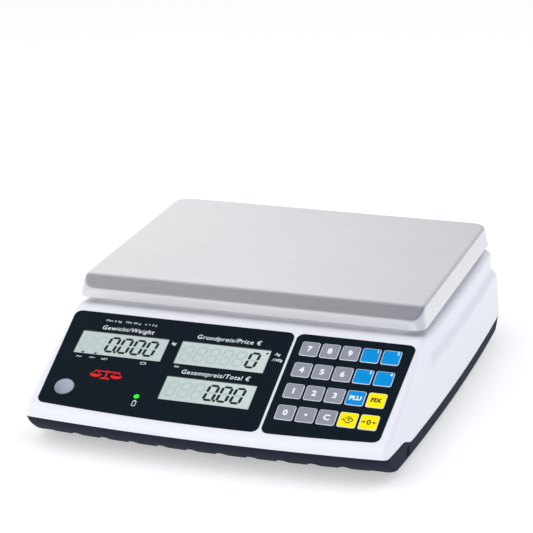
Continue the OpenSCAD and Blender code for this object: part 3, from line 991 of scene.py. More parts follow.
@dataclass(frozen=True)
class Plan:
    """The main dimensions of the scale, in millimetres."""

    half_w: float = 161.0
    half_d: float = 177.0
    side_arc_y: float = 60.0
    side_arc_r: float = 3200.0
    nose_y: float = -115.0
    nose_draw: float = 0.0003
    front_arc_r: float = 1700.0
    pan_y: float = 55.0
    top_z: float = 106.0
    deck_z: float = 84.0
    plinth_z: float = 91.5
    base_z: float = 7.0
    seam_front_z: float = 26.5
    seam_side_z: float = 20.5
    seam_ramp_y: float = -136.0
    seam_ramp_len: float = 20.0
    panel_tilt: float = 24.25
    panel_y: float = -65.85
    panel_z: float = 82.25
    wall: float = 2.5
    level_at: Pair = (-125.3, -89.7)
    lamp_at: Pair = (-62.0, -91.0)
    rear_z: float = 40.0
    rear_lcd_x: Point = (56.0, 0.0, -56.0)
    rocker_x: float = 112.0
    inlet_x: float = 138.0

    def side_x(self, y: np.ndarray) -> np.ndarray:
        """Half the housing's width at a place from front to back."""
        bow = (y - self.side_arc_y) ** 2 / (2 * self.side_arc_r)
        return self.half_w - bow - self.nose_draw * np.maximum(0, self.nose_y - y) ** 2

    def front_y(self, x: np.ndarray) -> np.ndarray:
        """The front edge's place at a distance from the middle."""
        return -self.half_d + x ** 2 / (2 * self.front_arc_r)

    def seam_z(self, y: np.ndarray) -> np.ndarray:
        """Height of the line where cover and base meet."""
        share = ease_step(y, self.seam_ramp_y, self.seam_ramp_y + self.seam_ramp_len)
        return self.seam_front_z + (self.seam_side_z - self.seam_front_z) * share

    def outline(
        self, x: np.ndarray, y: np.ndarray, side: object, front: object, back: object, radius: float,
    ) -> np.ndarray:
        """Distance to the housing's outline, drawn in at its edges.

        Args:
            x: Across, in millimetres.
            y: From front to back.
            side: How far the sides are drawn in: a number or one for each point.
            front: The same at the front.
            back: The same at the back.
            radius: Radius of the corners.

        Returns:
            The distances, negative inside.
        """
        sides = np.abs(x) - self.side_x(y) + side
        ends = np.maximum(self.front_y(x) + front - y, y - self.half_d + back)
        return round_both(sides, ends, radius)

    def panel_distance(self, y: np.ndarray, z: np.ndarray) -> np.ndarray:
        """Height above the sloping panel's plane."""
        tilt = math.radians(self.panel_tilt)
        return (z - self.panel_z) * math.cos(tilt) - (y - self.panel_y) * math.sin(tilt)

    def panel_height(self, y: np.ndarray) -> np.ndarray:
        """The panel's z at a place from front to back."""
        return self.panel_z + (y - self.panel_y) * math.tan(math.radians(self.panel_tilt))

    def on_panel(self, u: float, v: float, w: float = 0.0) -> Matrix:
        """Returns the place of a point on the panel: across, up the slope and out of it.

        Args:
            u: Across, in millimetres.
            v: Up the slope.
            w: Out of the panel.

        Returns:
            The place, with Z out of the panel.
        """
        start = Vector((0, self.panel_y * MM, self.panel_z * MM))
        turn = Matrix.Rotation(math.radians(self.panel_tilt), 4, "X")
        return Matrix.Translation(start) @ turn @ Matrix.Translation(Vector((u, v, w)) * MM)

    def on_back(self, x: float, z: float, depth: float) -> Matrix:
        """Returns the place of a point on the back wall, facing backwards and upright.

        Args:
            x: Across, in millimetres.
            z: Height.
            depth: How far inside the wall's outer face.

        Returns:
            The place, with Z pointing backwards.
        """
        start = Vector((x, self.half_d - depth, z)) * MM
        turn = Matrix.Rotation(math.pi, 4, "Z") @ Matrix.Rotation(math.pi / 2, 4, "X")
        return Matrix.Translation(start) @ turn


PLAN = Plan()


@dataclass
class Pan:
    """The folded steel pan."""

    width: float = 300.0
    depth: float = 230.0
    skirt: float = 16.6
    sheet: float = 1.2
    bevel_depth: float = 12.5
    bevel_drop: float = 8.4
    low_corner: float = 10.0
    top_corner: float = 14.0
    lean: float = 3.0
    edge: float = 1.4
    ridge: float = 1.3
    around: int = 320

    def form(self, inset: float) -> Form:
        """Returns the pan's outer form, or its hollow when drawn in.

        Args:
            inset: How far the form is drawn in, in millimetres.

        Returns:
            The distance function.
        """
        low = PLAN.pan_y - self.depth / 2
        slope = math.atan2(self.bevel_drop, self.bevel_depth)

        def distance(p: np.ndarray) -> np.ndarray:
            """Distance to the pan as a solid block.

            Args:
                p: Points in millimetres, one to a row.

            Returns:
                The distances, negative inside.
            """
            x, y, z = p[:, 0], p[:, 1], p[:, 2]
            rise = np.clip((z - PLAN.top_z + self.skirt) / self.skirt, 0, 1)
            corner = self.low_corner + (self.top_corner - self.low_corner) * rise
            half_x = self.width / 2 - self.lean * rise
            plan = round_both(np.abs(x) - half_x, np.abs(y - PLAN.pan_y) - self.depth / 2, corner)
            block = round_both(plan, z - PLAN.top_z, self.edge)
            bevel = (z - PLAN.top_z + self.bevel_drop) * math.cos(slope) - (y - low) * math.sin(slope)
            return round_both(block, bevel, self.ridge) + inset

        return distance

    def build(self) -> bpy.types.Object:
        """Builds the pan and returns it.

        Returns:
            The pan.
        """
        walk = walk_round(self.width / 2, -self.depth / 2, self.depth / 2, self.around)
        bottom = PLAN.top_z - self.skirt
        heights = list(crowded(26, bottom, PLAN.top_z - 0.5, False))
        shares = list(crowded(44, 1.0, 0.0))[1:-1]
        skins = []
        for inset in (0.0, self.sheet):
            form = self.form(inset)
            origin = np.array([0, PLAN.pan_y, bottom - 25])
            rings = []
            for height in heights:
                rings.append(np.column_stack([walk, np.full(len(walk), height)]))
            for share in shares:
                rings.append(np.column_stack([walk * share, np.full(len(walk), PLAN.top_z)]))
            targets = np.concatenate(rings) + (0, PLAN.pan_y, 0)
            found = cast(form, origin, targets).reshape(len(rings), len(walk), 3)
            found[0, :, 2] = bottom
            skins.append(found)
        piece = shell("pan", *skins, Finishes.PAN, True)
        soften(piece, 50)
        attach(piece, "pan")
        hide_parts("weighing_pan")
        return piece


@dataclass
class Housing:
    """The white cover and the dark base that it closes on."""

    around: int = 400
    wall_z: float = 58.5
    ledge_z: float = 64.0
    wall_in: float = 3.2
    ledge_in: float = 8.0
    top_in: float = 8.4
    crown: float = 0.28
    front_start: float = 43.0
    wall_fall: float = 0.62
    ledge_climb: float = 0.25
    rim_in: float = 0.6
    upper_rise: float = 18.0
    blur: tuple[float, ...] = (-0.8, -0.4, 0.0, 0.4, 0.8)
    front_in: float = 0.2
    back_in: float = 0.15
    back_share: float = 0.42
    crown_x: float = 137.0
    crown_y: Pair = (-70.0, -30.0)
    edge: float = 4.0
    ridge: float = 1.2
    corner: float = 4.0
    plinth_half: Pair = (141.5, 108.0)
    plinth_corner: float = 10.0
    plinth_round: float = 2.0
    fillet: float = 3.0
    seam_gap: float = 0.35
    foot_round: float = 2.2
    pocket: Pair = (86.8, 91.35)
    pocket_at: Pair = (96.02, -54.725)
    through: Pair = (-8.0, -1.0)
    recess: Pair = (-1.2, 3.0)
    deck_hole: Point = (50.0, 55.0, 22.0)
    notches: int = 12
    notch_pitch: float = 25.0
    notch_radius: float = 5.8
    case_screws: tuple[Pair, ...] = (
        (-140, -140), (140, -140), (-146, 62), (146, 62), (-128, 164), (128, 164),
    )
    cell_screws: tuple[Pair, ...] = ((-50, 47), (-50, 63))
    stop_screw: tuple[Pair, ...] = ((50, 55),)
    door_at: Pair = (-105, -31)
    door: Pair = (84.8, 124.8)
    scoop: Point = (6.0, -124.0, 14.5)
    scoop_out: float = 2.4
    feet: tuple[Pair, ...] = ((-128, -118), (128, -118), (-128, 142), (128, 142))
    origin: np.ndarray = field(default_factory=lambda: np.array([0.0, 0.0, 5.0]))

    def draw_in(self, y: np.ndarray, z: np.ndarray) -> np.ndarray:
        """Returns how far the sides stand in from the widest line: wall, ledge and upper wall.

        Args:
            y: From front to back, in millimetres.
            z: Height.

        Returns:
            The drawing in, in millimetres.
        """
        ahead = np.maximum(0, -self.front_start - y)
        wall_z = np.maximum(PLAN.seam_side_z + 1, self.wall_z - self.wall_fall * ahead)
        ledge_z = self.ledge_z + self.ledge_climb * ahead
        share = (wall_z - PLAN.seam_side_z) / (self.wall_z - PLAN.seam_side_z)
        wall_in = self.rim_in + (self.wall_in - self.rim_in) * share
        drawn = np.zeros_like(z)
        for shift in self.blur:
            level = z + shift
            climb = np.clip((level - PLAN.seam_side_z) / (wall_z - PLAN.seam_side_z), 0, 1)
            drawn += self.rim_in + (wall_in - self.rim_in) * climb
            drawn += (self.ledge_in - wall_in) * np.clip((level - wall_z) / (ledge_z - wall_z), 0, 1)
            drawn += (self.top_in - self.ledge_in) * np.clip((level - ledge_z) / self.upper_rise, 0, 1)
        return drawn / len(self.blur)

    def plinth(self, x: np.ndarray, y: np.ndarray) -> np.ndarray:
        """Distance to the outline of the plinth under the pan."""
        return rectangle(x, y - PLAN.pan_y + 1, *self.plinth_half, self.plinth_corner)

    def walk(self) -> np.ndarray:
        """Returns flat points round the housing, just inside its outline."""
        return np.column_stack([walk_round(160, -174, 177, self.around), np.zeros(self.around)])

    def cover_form(self, inset: float) -> Form:
        """Returns the cover's outer form, or its hollow when drawn in.

        Args:
            inset: How far the form is drawn in, in millimetres.

        Returns:
            The distance function.
        """

        def distance(p: np.ndarray) -> np.ndarray:
            """Distance to the cover as a solid block.

            Args:
                p: Points in millimetres, one to a row.

            Returns:
                The distances, negative inside.
            """
            x, y, z = p[:, 0], p[:, 1], p[:, 2]
            back = self.back_in + self.back_share * self.draw_in(np.zeros_like(y), z)
            plan = PLAN.outline(x, y, self.draw_in(y, z), self.front_in, back, self.corner)
            fall = self.crown * np.maximum(0, np.abs(x) - self.crown_x) * ease_step(y, *self.crown_y)
            roof = round_both(z - PLAN.deck_z + fall, PLAN.panel_distance(y, z), self.ridge)
            body = round_both(plan, roof, self.edge)
            plinth = round_both(self.plinth(x, y), z - PLAN.plinth_z, self.plinth_round)
            return round_either(body, plinth, self.fillet) + inset

        return distance

    def cover_targets(self, side: int, deck: int, wall: int, top: int) -> np.ndarray:
        """Returns rings of ray targets from the seam to the middle of the plinth.

        Args:
            side: Number of rings up the side.
            deck: Number of rings over the panel and the deck.
            wall: Number of rings up the plinth's wall.
            top: Number of rings over the plinth.

        Returns:
            The targets as ring, place on the ring, coordinate.
        """
        flat, middle = self.walk(), np.zeros(3)
        rim = cast(lambda p: PLAN.outline(p[:, 0], p[:, 1], 0.0, 0.0, 0.0, self.corner), middle, flat)
        block = cast(lambda p: self.plinth(p[:, 0], p[:, 1]), middle, flat)
        seam = PLAN.seam_z(rim[:, 1])
        roof = np.minimum(PLAN.deck_z, PLAN.panel_height(rim[:, 1]))
        rings = []
        for share in crowded(side, 0, 1, False):
            rings.append(np.column_stack([rim[:, :2], seam + (roof - seam) * share]))
        for share in crowded(deck, 0, 1)[1:]:
            spot = rim[:, :2] + (block[:, :2] - rim[:, :2]) * share
            rings.append(np.column_stack([spot, np.minimum(PLAN.deck_z, PLAN.panel_height(spot[:, 1]))]))
        for height in crowded(wall, PLAN.deck_z, PLAN.plinth_z)[1:]:
            rings.append(np.column_stack([block[:, :2], np.full(self.around, height)]))
        for share in crowded(top, 1, 0)[1:-1]:
            rings.append(np.column_stack([block[:, :2] * share, np.full(self.around, PLAN.plinth_z)]))
        return np.array(rings)

    def cover(self) -> bpy.types.Object:
        """Builds the cover and returns it.

        Returns:
            The cover.
        """
        skins = []
        for inset, counts in ((0.0, (34, 64, 9, 12)), (PLAN.wall, (14, 20, 4, 6))):
            targets = self.cover_targets(*counts)
            found = cast(self.cover_form(inset), self.origin, targets.reshape(-1, 3))
            found = found.reshape(targets.shape)
            found[0, :, 2] = PLAN.seam_z(found[0, :, 1])
            skins.append(found)
        piece = shell("cover", *skins, Finishes.COVER, True)
        for cutters in self.cover_cutters():
            carve(piece, [cutters])
        soften(piece, 40)
        return self.dress(piece, "top_cover", "cover_white")

    def cover_cutters(self) -> list[bpy.types.Mesh]:
        """Returns the openings of the panel, the deck and the back wall, in sets that don't touch.

        Returns:
            One mesh for each set.
        """
        x, y, radius = self.deck_hole
        deck = Matrix.Translation((x * MM, y * MM, 0))
        openings = [turned("hole", [(radius, 75), (radius, 100)], deck, 64)]
        for u, v in Displays.places:
            window = rounded_outline(Displays.width + 0.6, Displays.height + 0.6, 0.3, 1)
            openings.append(slab("window", window, -6, 3, PLAN.on_panel(u, v)))
        pocket = rounded_outline(*self.pocket, 1.0, 2)
        openings.append(slab("pocket", pocket, -1.8, 3, PLAN.on_panel(*self.pocket_at)))
        for (u, v), hole in ((PLAN.level_at, 8.9), (PLAN.lamp_at, 2.7)):
            openings.append(turned("hole", [(hole, -6), (hole, 3)], PLAN.on_panel(u, v)))
        rear, switch, inlet = (PLAN.on_back(x, PLAN.rear_z, 0) for x in (0, PLAN.rocker_x, PLAN.inlet_x))
        openings.append(slab("rear", rounded_outline(170, 22, 1, 2), *self.through, rear))
        recesses = [
            slab("recess", rounded_outline(176.4, 28.4, 1.7, 3), *self.recess, rear),
            slab("recess", rounded_outline(17.4, 23.4, 1.7, 3), *self.recess, switch),
        ]
        holes = [
            slab("hole", rounded_outline(14.6, 20.6, 0.5, 2), *self.through, switch),
            turned("hole", [(5.6, -8), (5.6, -1.1), (7.4, -1.1), (7.4, 3)], inlet),
        ]
        return [joined("openings", openings), joined("recesses", recesses), joined("holes", holes)]

    def base(self) -> bpy.types.Object:
        """Builds the base tray and returns it.

        Returns:
            The base tray.
        """
        skins = []
        for inset, front, levels in ((0.0, 0.0, 22), (PLAN.wall, 30.0, 8)):
            rings = [self.base_ring(share, inset, front) for share in crowded(levels, 0, 1)]
            skins.append(np.array(rings))
        piece = shell("base", *skins, Finishes.BASE, False)
        for cutters in self.base_cutters():
            carve(piece, [cutters])
        soften(piece, 40)
        return self.dress(piece, "base_tray", "base_navy")

    def base_ring(self, share: float, inset: float, front: float) -> np.ndarray:
        """Returns one ring of the base.

        Args:
            share: Where it is, from the seam at 0 to the floor at 1.
            inset: How far it lies inside the outer skin.
            front: How much further in it lies at the front.

        Returns:
            The ring's points, in millimetres.
        """
        floor = PLAN.base_z + inset
        round_r = 0.0 if inset else self.foot_round
        flat = self.walk()
        ring = flat.copy()
        for _ in range(3):
            top = PLAN.seam_z(ring[:, 1]) - self.seam_gap
            z = top + (floor - top) * share
            drop = np.clip((PLAN.seam_front_z - z) / (PLAN.seam_front_z - PLAN.base_z), 0, 1)
            low = np.clip(round_r - (z - floor), 0, None)
            ease = round_r - np.sqrt(np.maximum(round_r ** 2 - low ** 2, 0))
            side = 1.0 + 0.6 * drop + inset + ease
            ahead = 0.8 + 19.2 * drop ** 1.5 + inset + front + ease
            behind = 0.8 + 10.2 * share ** 1.4 + inset + ease
            corner = self.corner + 2 * share
            ring = cast(
                lambda p: PLAN.outline(p[:, 0], p[:, 1], side, ahead, behind, corner), np.zeros(3), flat)
        return np.column_stack([ring[:, :2], z])

    def base_cutters(self) -> list[bpy.types.Mesh]:
        """Returns the notches, scoops, screw holes and door recess, in sets that don't touch.

        Returns:
            One mesh for each set.
        """
        cutters = []
        flat_y = Matrix.Translation((0, -0.182, 0.006)) @ Matrix.Rotation(-math.pi / 2, 4, "X")
        for i in range(self.notches):
            across = (i - (self.notches - 1) / 2) * self.notch_pitch
            place = Matrix.Translation((across * MM, 0, 0)) @ flat_y
            cutters.append(turned("notch", [(self.notch_radius, 0), (self.notch_radius, 32)], place, 40))
        stud = [(3.06, 5), (3.06, 30)]
        for spots, profile in (
            (self.feet, stud),
            (self.case_screws, [(3.4, 5), (3.4, 11), (1.8, 11), (1.8, 30)]),
            (self.cell_screws, [(5.6, 5), (5.6, 11.9), (3.2, 11.9), (3.2, 30)]),
            (self.stop_screw, stud),
        ):
            for x, y in spots:
                cutters.append(turned("hole", profile, Matrix.Translation((x * MM, y * MM, 0)), 32))
        x, y = self.door_at
        door = rounded_outline(*self.door, 0.5, 2)
        recess = slab("recess", door, 5, 8.8, Matrix.Translation((x * MM, y * MM, 0)))
        radius, y, z = self.scoop
        turns = [math.pi * k / 16 for k in range(17)]
        ball = [(radius * math.sin(turn), -radius * math.cos(turn)) for turn in turns]
        scoops = []
        for side in (-1, 1):
            x = side * (float(PLAN.side_x(np.array(y))) + self.scoop_out)
            scoops.append(turned("scoop", ball, Matrix.Translation((x * MM, y * MM, z * MM)), 32))
        return [joined("holes", cutters), recess, joined("scoops", scoops)]

    def dress(self, piece: bpy.types.Object, node: str, slot: str) -> bpy.types.Object:
        """Lets a piece of the housing stand for its CAD node.

        Args:
            piece: The piece.
            node: The node that it replaces.
            slot: Not used.

        Returns:
            The piece.
        """
        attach(piece, "housing")
        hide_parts(node)
        return piece


# ---------------------------------------------------------------- printing


class Glyph(Enum):
    """Pictograms that the panel and the keys use."""

    ZERO = "zero"
    TARE = "tare"
    BALANCE = "balance"
    BATTERY = "battery"
    WAVE = "wave"
    ZERO_SMALL = "zero_small"


@dataclass
class Printer:
    """Makes thin printed marks in place."""

    thickness: float = 0.03

    def word(
        self, text: str, size: float, place: Matrix,
        bold: float = 0.0, slant: float = 0.0, length: float = 0.0,
    ) -> bpy.types.Mesh:
        """Returns a word as a thin mesh.

        Args:
            text: What is printed.
            size: Height of the letters, in millimetres.
            place: Where its middle goes.
            bold: How much the strokes grow, in millimetres.
            slant: Shear of the letters.
            length: Length of the whole word in millimetres, or 0 for its natural length.

        Returns:
            The mesh.
        """
        curve = bpy.data.curves.new("word", "FONT")
        curve.body = text
        curve.size = size * 1.38
        curve.align_x, curve.align_y = "CENTER", "CENTER"
        curve.offset = bold
        curve.shear = slant
        curve.space_character = 1.12 if length else 1.0
        curve.resolution_u = 3
        curve.extrude = self.thickness / 2
        carrier = bpy.data.objects.new("word", curve)
        bpy.context.scene.collection.objects.link(carrier)
        graph = bpy.context.evaluated_depsgraph_get()
        mesh = bpy.data.meshes.new_from_object(carrier.evaluated_get(graph))
        bpy.data.objects.remove(carrier)
        if len(mesh.vertices):
            co = np.array([v.co for v in mesh.vertices])
            middle = (co.max(0) + co.min(0)) / 2
            mesh.transform(Matrix.Translation(Vector((-middle[0], -middle[1], self.thickness / 2))))
            wide = length / float(np.ptp(co[:, 0])) if length else 1.0
            mesh.transform(Matrix.Diagonal((wide, 1, 1, 1)))
        mesh.transform(Matrix.Diagonal((MM, MM, MM, 1)))
        mesh.transform(place)
        return recalculated(mesh)

    def shape(self, outline: Sequence[Pair], place: Matrix) -> bpy.types.Mesh:
        """Returns a filled convex outline as a thin mesh."""
        return slab("mark", outline, 0, self.thickness, place)

    def line(self, start: Pair, end: Pair, width: float, place: Matrix) -> bpy.types.Mesh:
        """Returns a straight stroke.

        Args:
            start: Where it starts, in millimetres.
            end: Where it ends.
            width: Its width.
            place: Where its own axes go.

        Returns:
            The stroke.
        """
        way = np.array(end) - np.array(start)
        across = np.array([-way[1], way[0]]) / np.hypot(*way) * width / 2
        first, last = np.array(start), np.array(end)
        corners = (first - across, last - across, last + across, first + across)
        return self.shape([tuple(corner) for corner in corners], place)

    def arrow(self, tip: float, direction: int, place: Matrix, scale: float = 1.0) -> list[bpy.types.Mesh]:
        """Returns an arrow that lies along X and ends at tip.

        Args:
            tip: Where its tip lies.
            direction: 1 to point along X, or -1.
            place: Where its own axes go.
            scale: Its size against the common one.

        Returns:
            Its head and its shaft.
        """
        back = tip - direction * 3.0 * scale
        head = tip - direction * 1.5 * scale
        points = [(tip, 0), (head, 1.1 * scale), (head, -1.1 * scale)]
        if direction < 0:
            points.reverse()
        low, high = sorted((back, head))
        return [self.shape(points, place), self.line((low, 0), (high, 0), 0.6 * scale, place)]

    def polyline(self, points: Sequence[Pair], width: float, place: Matrix) -> list[bpy.types.Mesh]:
        """Returns strokes along a list of points."""
        return [self.line(a, b, width, place) for a, b in zip(points, points[1:])]

    def glyph(self, kind: Glyph, place: Matrix) -> list[bpy.types.Mesh]:
        """Returns a pictogram about the middle of its place.

        Args:
            kind: Which pictogram.
            place: Where its middle goes.

        Returns:
            Its strokes and shapes.
        """
        if kind is Glyph.ZERO:
            arrows = self.arrow(-2.5, 1, place, 1.2) + self.arrow(2.5, -1, place, 1.2)
            return [self.word("0", 5.0, place, 0.16), *arrows]
        if kind is Glyph.TARE:
            frame_line = [(-2.4, 1.2), (0.5, 3.6), (4.3, 0), (0.5, -3.6), (-2.4, -1.2)]
            letter = self.word("T", 3.2, place @ Matrix.Translation((0.0007, 0, 0)), 0.14)
            return [letter, *self.polyline(frame_line, 0.75, place), *self.arrow(-1.9, 1, place, 1.1)]
        if kind is Glyph.ZERO_SMALL:
            arrows = self.arrow(-1.1, 1, place, 0.5) + self.arrow(1.1, -1, place, 0.5)
            return [self.word("0", 1.9, place), *arrows]
        if kind is Glyph.BATTERY:
            box = [(-2, -1.1), (2, -1.1), (2, 1.1), (-2, 1.1), (-2, -1.1)]
            return [*self.polyline(box, 0.35, place), self.line((2.2, 0), (2.8, 0), 1.0, place)]
        if kind is Glyph.WAVE:
            return self.polyline([(-2.4, -0.6), (-1, 0.6), (1, -0.6), (2.4, 0.6)], 0.45, place)
        return self.balance(place)

    def balance(self, place: Matrix) -> list[bpy.types.Mesh]:
        """Returns a pair of scales: beam, post, foot and two bowls on their strings.

        Args:
            place: Where its middle goes.

        Returns:
            Its strokes and shapes.
        """
        parts = [
            *self.polyline([(-11, 2.2), (11, 2.2)], 1.1, place), self.line((0, -5), (0, 3.6), 1.2, place),
            self.shape([(-4.5, -6), (4.5, -6), (3, -4.4), (-3, -4.4)], place),
        ]
        for middle in (-9, 9):
            turns = [math.pi * (1 + k / 10) for k in range(1, 10)]
            curve = [(middle + 5 * math.cos(turn), -1.6 + 3 * math.sin(turn)) for turn in turns]
            parts.append(self.shape([(middle - 5, -1.6), *curve, (middle + 5, -1.6)], place))
            parts += self.polyline([(middle - 4.6, -1.6), (middle, 2.2), (middle + 4.6, -1.6)], 0.5, place)
        return parts


PRINTER = Printer()


def marked(
    name: str, body: str, meshes: Sequence[bpy.types.Mesh], finish: Finish,
) -> bpy.types.Object:
    """Joins printed marks into one piece that rides on a body.

    Args:
        name: The piece's name.
        body: The body that it rides on.
        meshes: The marks.
        finish: Their ink.

    Returns:
        The piece.
    """
    piece = new_piece(name, joined(name, meshes), [finish])
    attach(piece, body)
    return piece


# ---------------------------------------------------------------- displays


@dataclass
class Displays:
    """The three operator displays and the customer's displays."""

    width: float = 76.8
    height: float = 26.0
    digit_h: float = 15.6
    digit_w: float = 7.4
    stroke: float = 2.35
    slant: float = 0.13
    pitch: float = 11.2
    cells: int = 6
    first_cell: float = -30.2
    rear_scale: float = 0.62
    places: tuple[Pair, ...] = ((-94.2, -38.5), (-6.4, -38.4), (-6.4, -77.8))
    shows: tuple[str, ...] = ("  0.000", "     0", "   0.00")
    nodes: tuple[str, ...] = ("weight_lcd", "price_lcd", "total_lcd")
    lit: dict[str, str] = field(default_factory=lambda: {
        "0": "abcdef", "1": "bc", "2": "abged", "3": "abgcd", "8": "abcdefg", " ": "",
    })

    def segments(self, text: str, scale: float, lit: bool) -> list[Spot]:
        """Returns the spots of a display's lit or unlit segments.

        Args:
            text: What is shown; a space is an empty digit.
            scale: Size against the front displays.
            lit: True for the dark segments, False for the faint ones.

        Returns:
            Spots for the scatter.
        """
        tall, wide = self.digit_h * scale, self.digit_w * scale
        across, up = wide - 0.5 * scale, tall / 2 - 0.5 * scale
        half = math.pi / 2
        spots = {
            "a": (0, tall / 2, 0, across), "d": (0, -tall / 2, 0, across), "g": (0, 0, 0, across),
            "b": (wide / 2, tall / 4, half, up), "c": (wide / 2, -tall / 4, half, up),
            "e": (-wide / 2, -tall / 4, half, up), "f": (-wide / 2, tall / 4, half, up),
        }
        made: list[Spot] = []
        cell = -1
        for sign in text:
            if sign == ".":
                dot = (self.first_cell + self.pitch * (cell + 0.5)) * scale
                if lit:
                    made.append((dot - tall / 2 * self.slant, -tall / 2, 0, 0, 2.2 * scale, 1))
                continue
            cell += 1
            middle = (self.first_cell + self.pitch * cell) * scale
            for key, (x, y, turn, length) in spots.items():
                if (key in self.lit[sign]) == lit:
                    made += self.segment(middle + x + y * self.slant, y, turn, length, scale)
        return made

    def segment(self, x: float, y: float, turn: float, length: float, scale: float) -> list[Spot]:
        """Returns a segment's straight part and its two pointed ends.

        Args:
            x: Its middle across, in millimetres.
            y: Its middle upwards.
            turn: 0 when level, or a quarter turn.
            length: Its whole length.
            scale: Size against the front displays.

        Returns:
            The three spots.
        """
        if turn:
            turn -= math.atan(self.slant)
        wide = self.stroke * scale
        reach = (length - wide) / 2
        made: list[Spot] = [(x, y, 0, turn, 2 * reach, 1)]
        for end in (-reach, reach):
            at = (x + end * math.cos(turn), y + end * math.sin(turn))
            made.append((*at, -0.01, turn + math.pi / 4, wide * 0.7, 0.7))
        return made

    def build(self, bars: Scatter) -> None:
        """Dresses the glasses and lays their segments on them.

        Args:
            bars: The tree that repeats a segment.
        """
        for (u, v), text, node in zip(self.places, self.shows, self.nodes):
            dress_node(node, Finishes.GLASS)
            text = text.rjust(self.cells + text.count("."))
            place = PLAN.on_panel(u, v, -0.2 + 0.02)
            size = (1.0, self.stroke, 0.05)
            dark = bars.mesh(node + "_lit", self.segments(text, 1.0, True), size, Finishes.SEGMENT, place)
            marks = [PRINTER.shape(mark, PLAN.on_panel(u, v, -0.19)) for mark in self.pointers(node)]
            # Painted shadow along the window's edges, heaviest at the top and the left.
            self.gasket(node, PLAN.on_panel(u, v, -0.19))
            self.lay(node + "_digits", joined(node, [dark, *marks]), Finishes.SEGMENT)
            pale = bars.mesh(node + "_off", self.segments(text, 1.0, False), size, Finishes.GHOST, place)
            self.lay(node + "_unlit", pale, Finishes.GHOST)
        dress_node("rear_lcds", Finishes.REAR_GLASS)
        meshes = []
        for x, text in zip(PLAN.rear_lcd_x, self.shows):
            text = text.rjust(self.cells + text.count("."))
            spots = self.segments(text, self.rear_scale, True)
            place = PLAN.on_back(x, PLAN.rear_z, 1.38)
            meshes.append(bars.mesh("rear", spots, (1.0, 1.5, 0.05), Finishes.SEGMENT, place))
        self.lay("rear_digits", joined("rear_digits", meshes), Finishes.SEGMENT)

    def pointers(self, node: str) -> list[list[Pair]]:
        """Returns the small triangles that a display shows.

        Args:
            node: The display's node.

        Returns:
            The outline of each triangle.
        """
        if node == "weight_lcd":
            return [[(u, -12.4), (u + 1.9, -10.5), (u - 1.9, -10.5)] for u in (-30.1, -18.8)]
        if node == "price_lcd":
            return [[(37.2, 9.1), (34.8, 10.5), (34.8, 7.7)]]
        return []

    def gasket(self, node: str, place: Matrix) -> None:
        """Paints the shadow of the window's recess on a glass as a dark frame, widest at the top and the
        left.

        Args:
            node: The display's node.
            place: Where the glass's middle goes.
        """
        x, y = self.width / 2, self.height / 2
        # Painted shadow strips: wide at the top and the left, thin at the bottom and the right.
        edges = (((-x, y - 0.35), (x, y - 0.35), 0.7), ((-x + 0.3, -y), (-x + 0.3, y), 0.6),
                 ((-x, -y + 0.12), (x, -y + 0.12), 0.24), ((x - 0.12, -y), (x - 0.12, y), 0.24))
        meshes = [PRINTER.line(start, end, width, place) for start, end, width in edges]
        self.lay(node + "_gasket", joined("gasket", meshes), Finishes.GASKET)

    def lay(self, name: str, mesh: bpy.types.Mesh, finish: Finish) -> None:
        """Puts a layer of segments on the housing.

        Args:
            name: The piece's name.
            mesh: The layer.
            finish: Its finish.
        """
        piece = new_piece(name, recalculated(mesh), [finish])
        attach(piece, "housing")


def dress_node(node: str, finish: Finish) -> None:
    """Gives a CAD node its finish.

    Args:
        node: The node's name.
        finish: Its finish.
    """
    found = next(o for o in bpy.context.scene.objects if o.get("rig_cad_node") == node)
    found.data.materials.clear()
    found.data.materials.append(finish.material())


# ---------------------------------------------------------------- panel


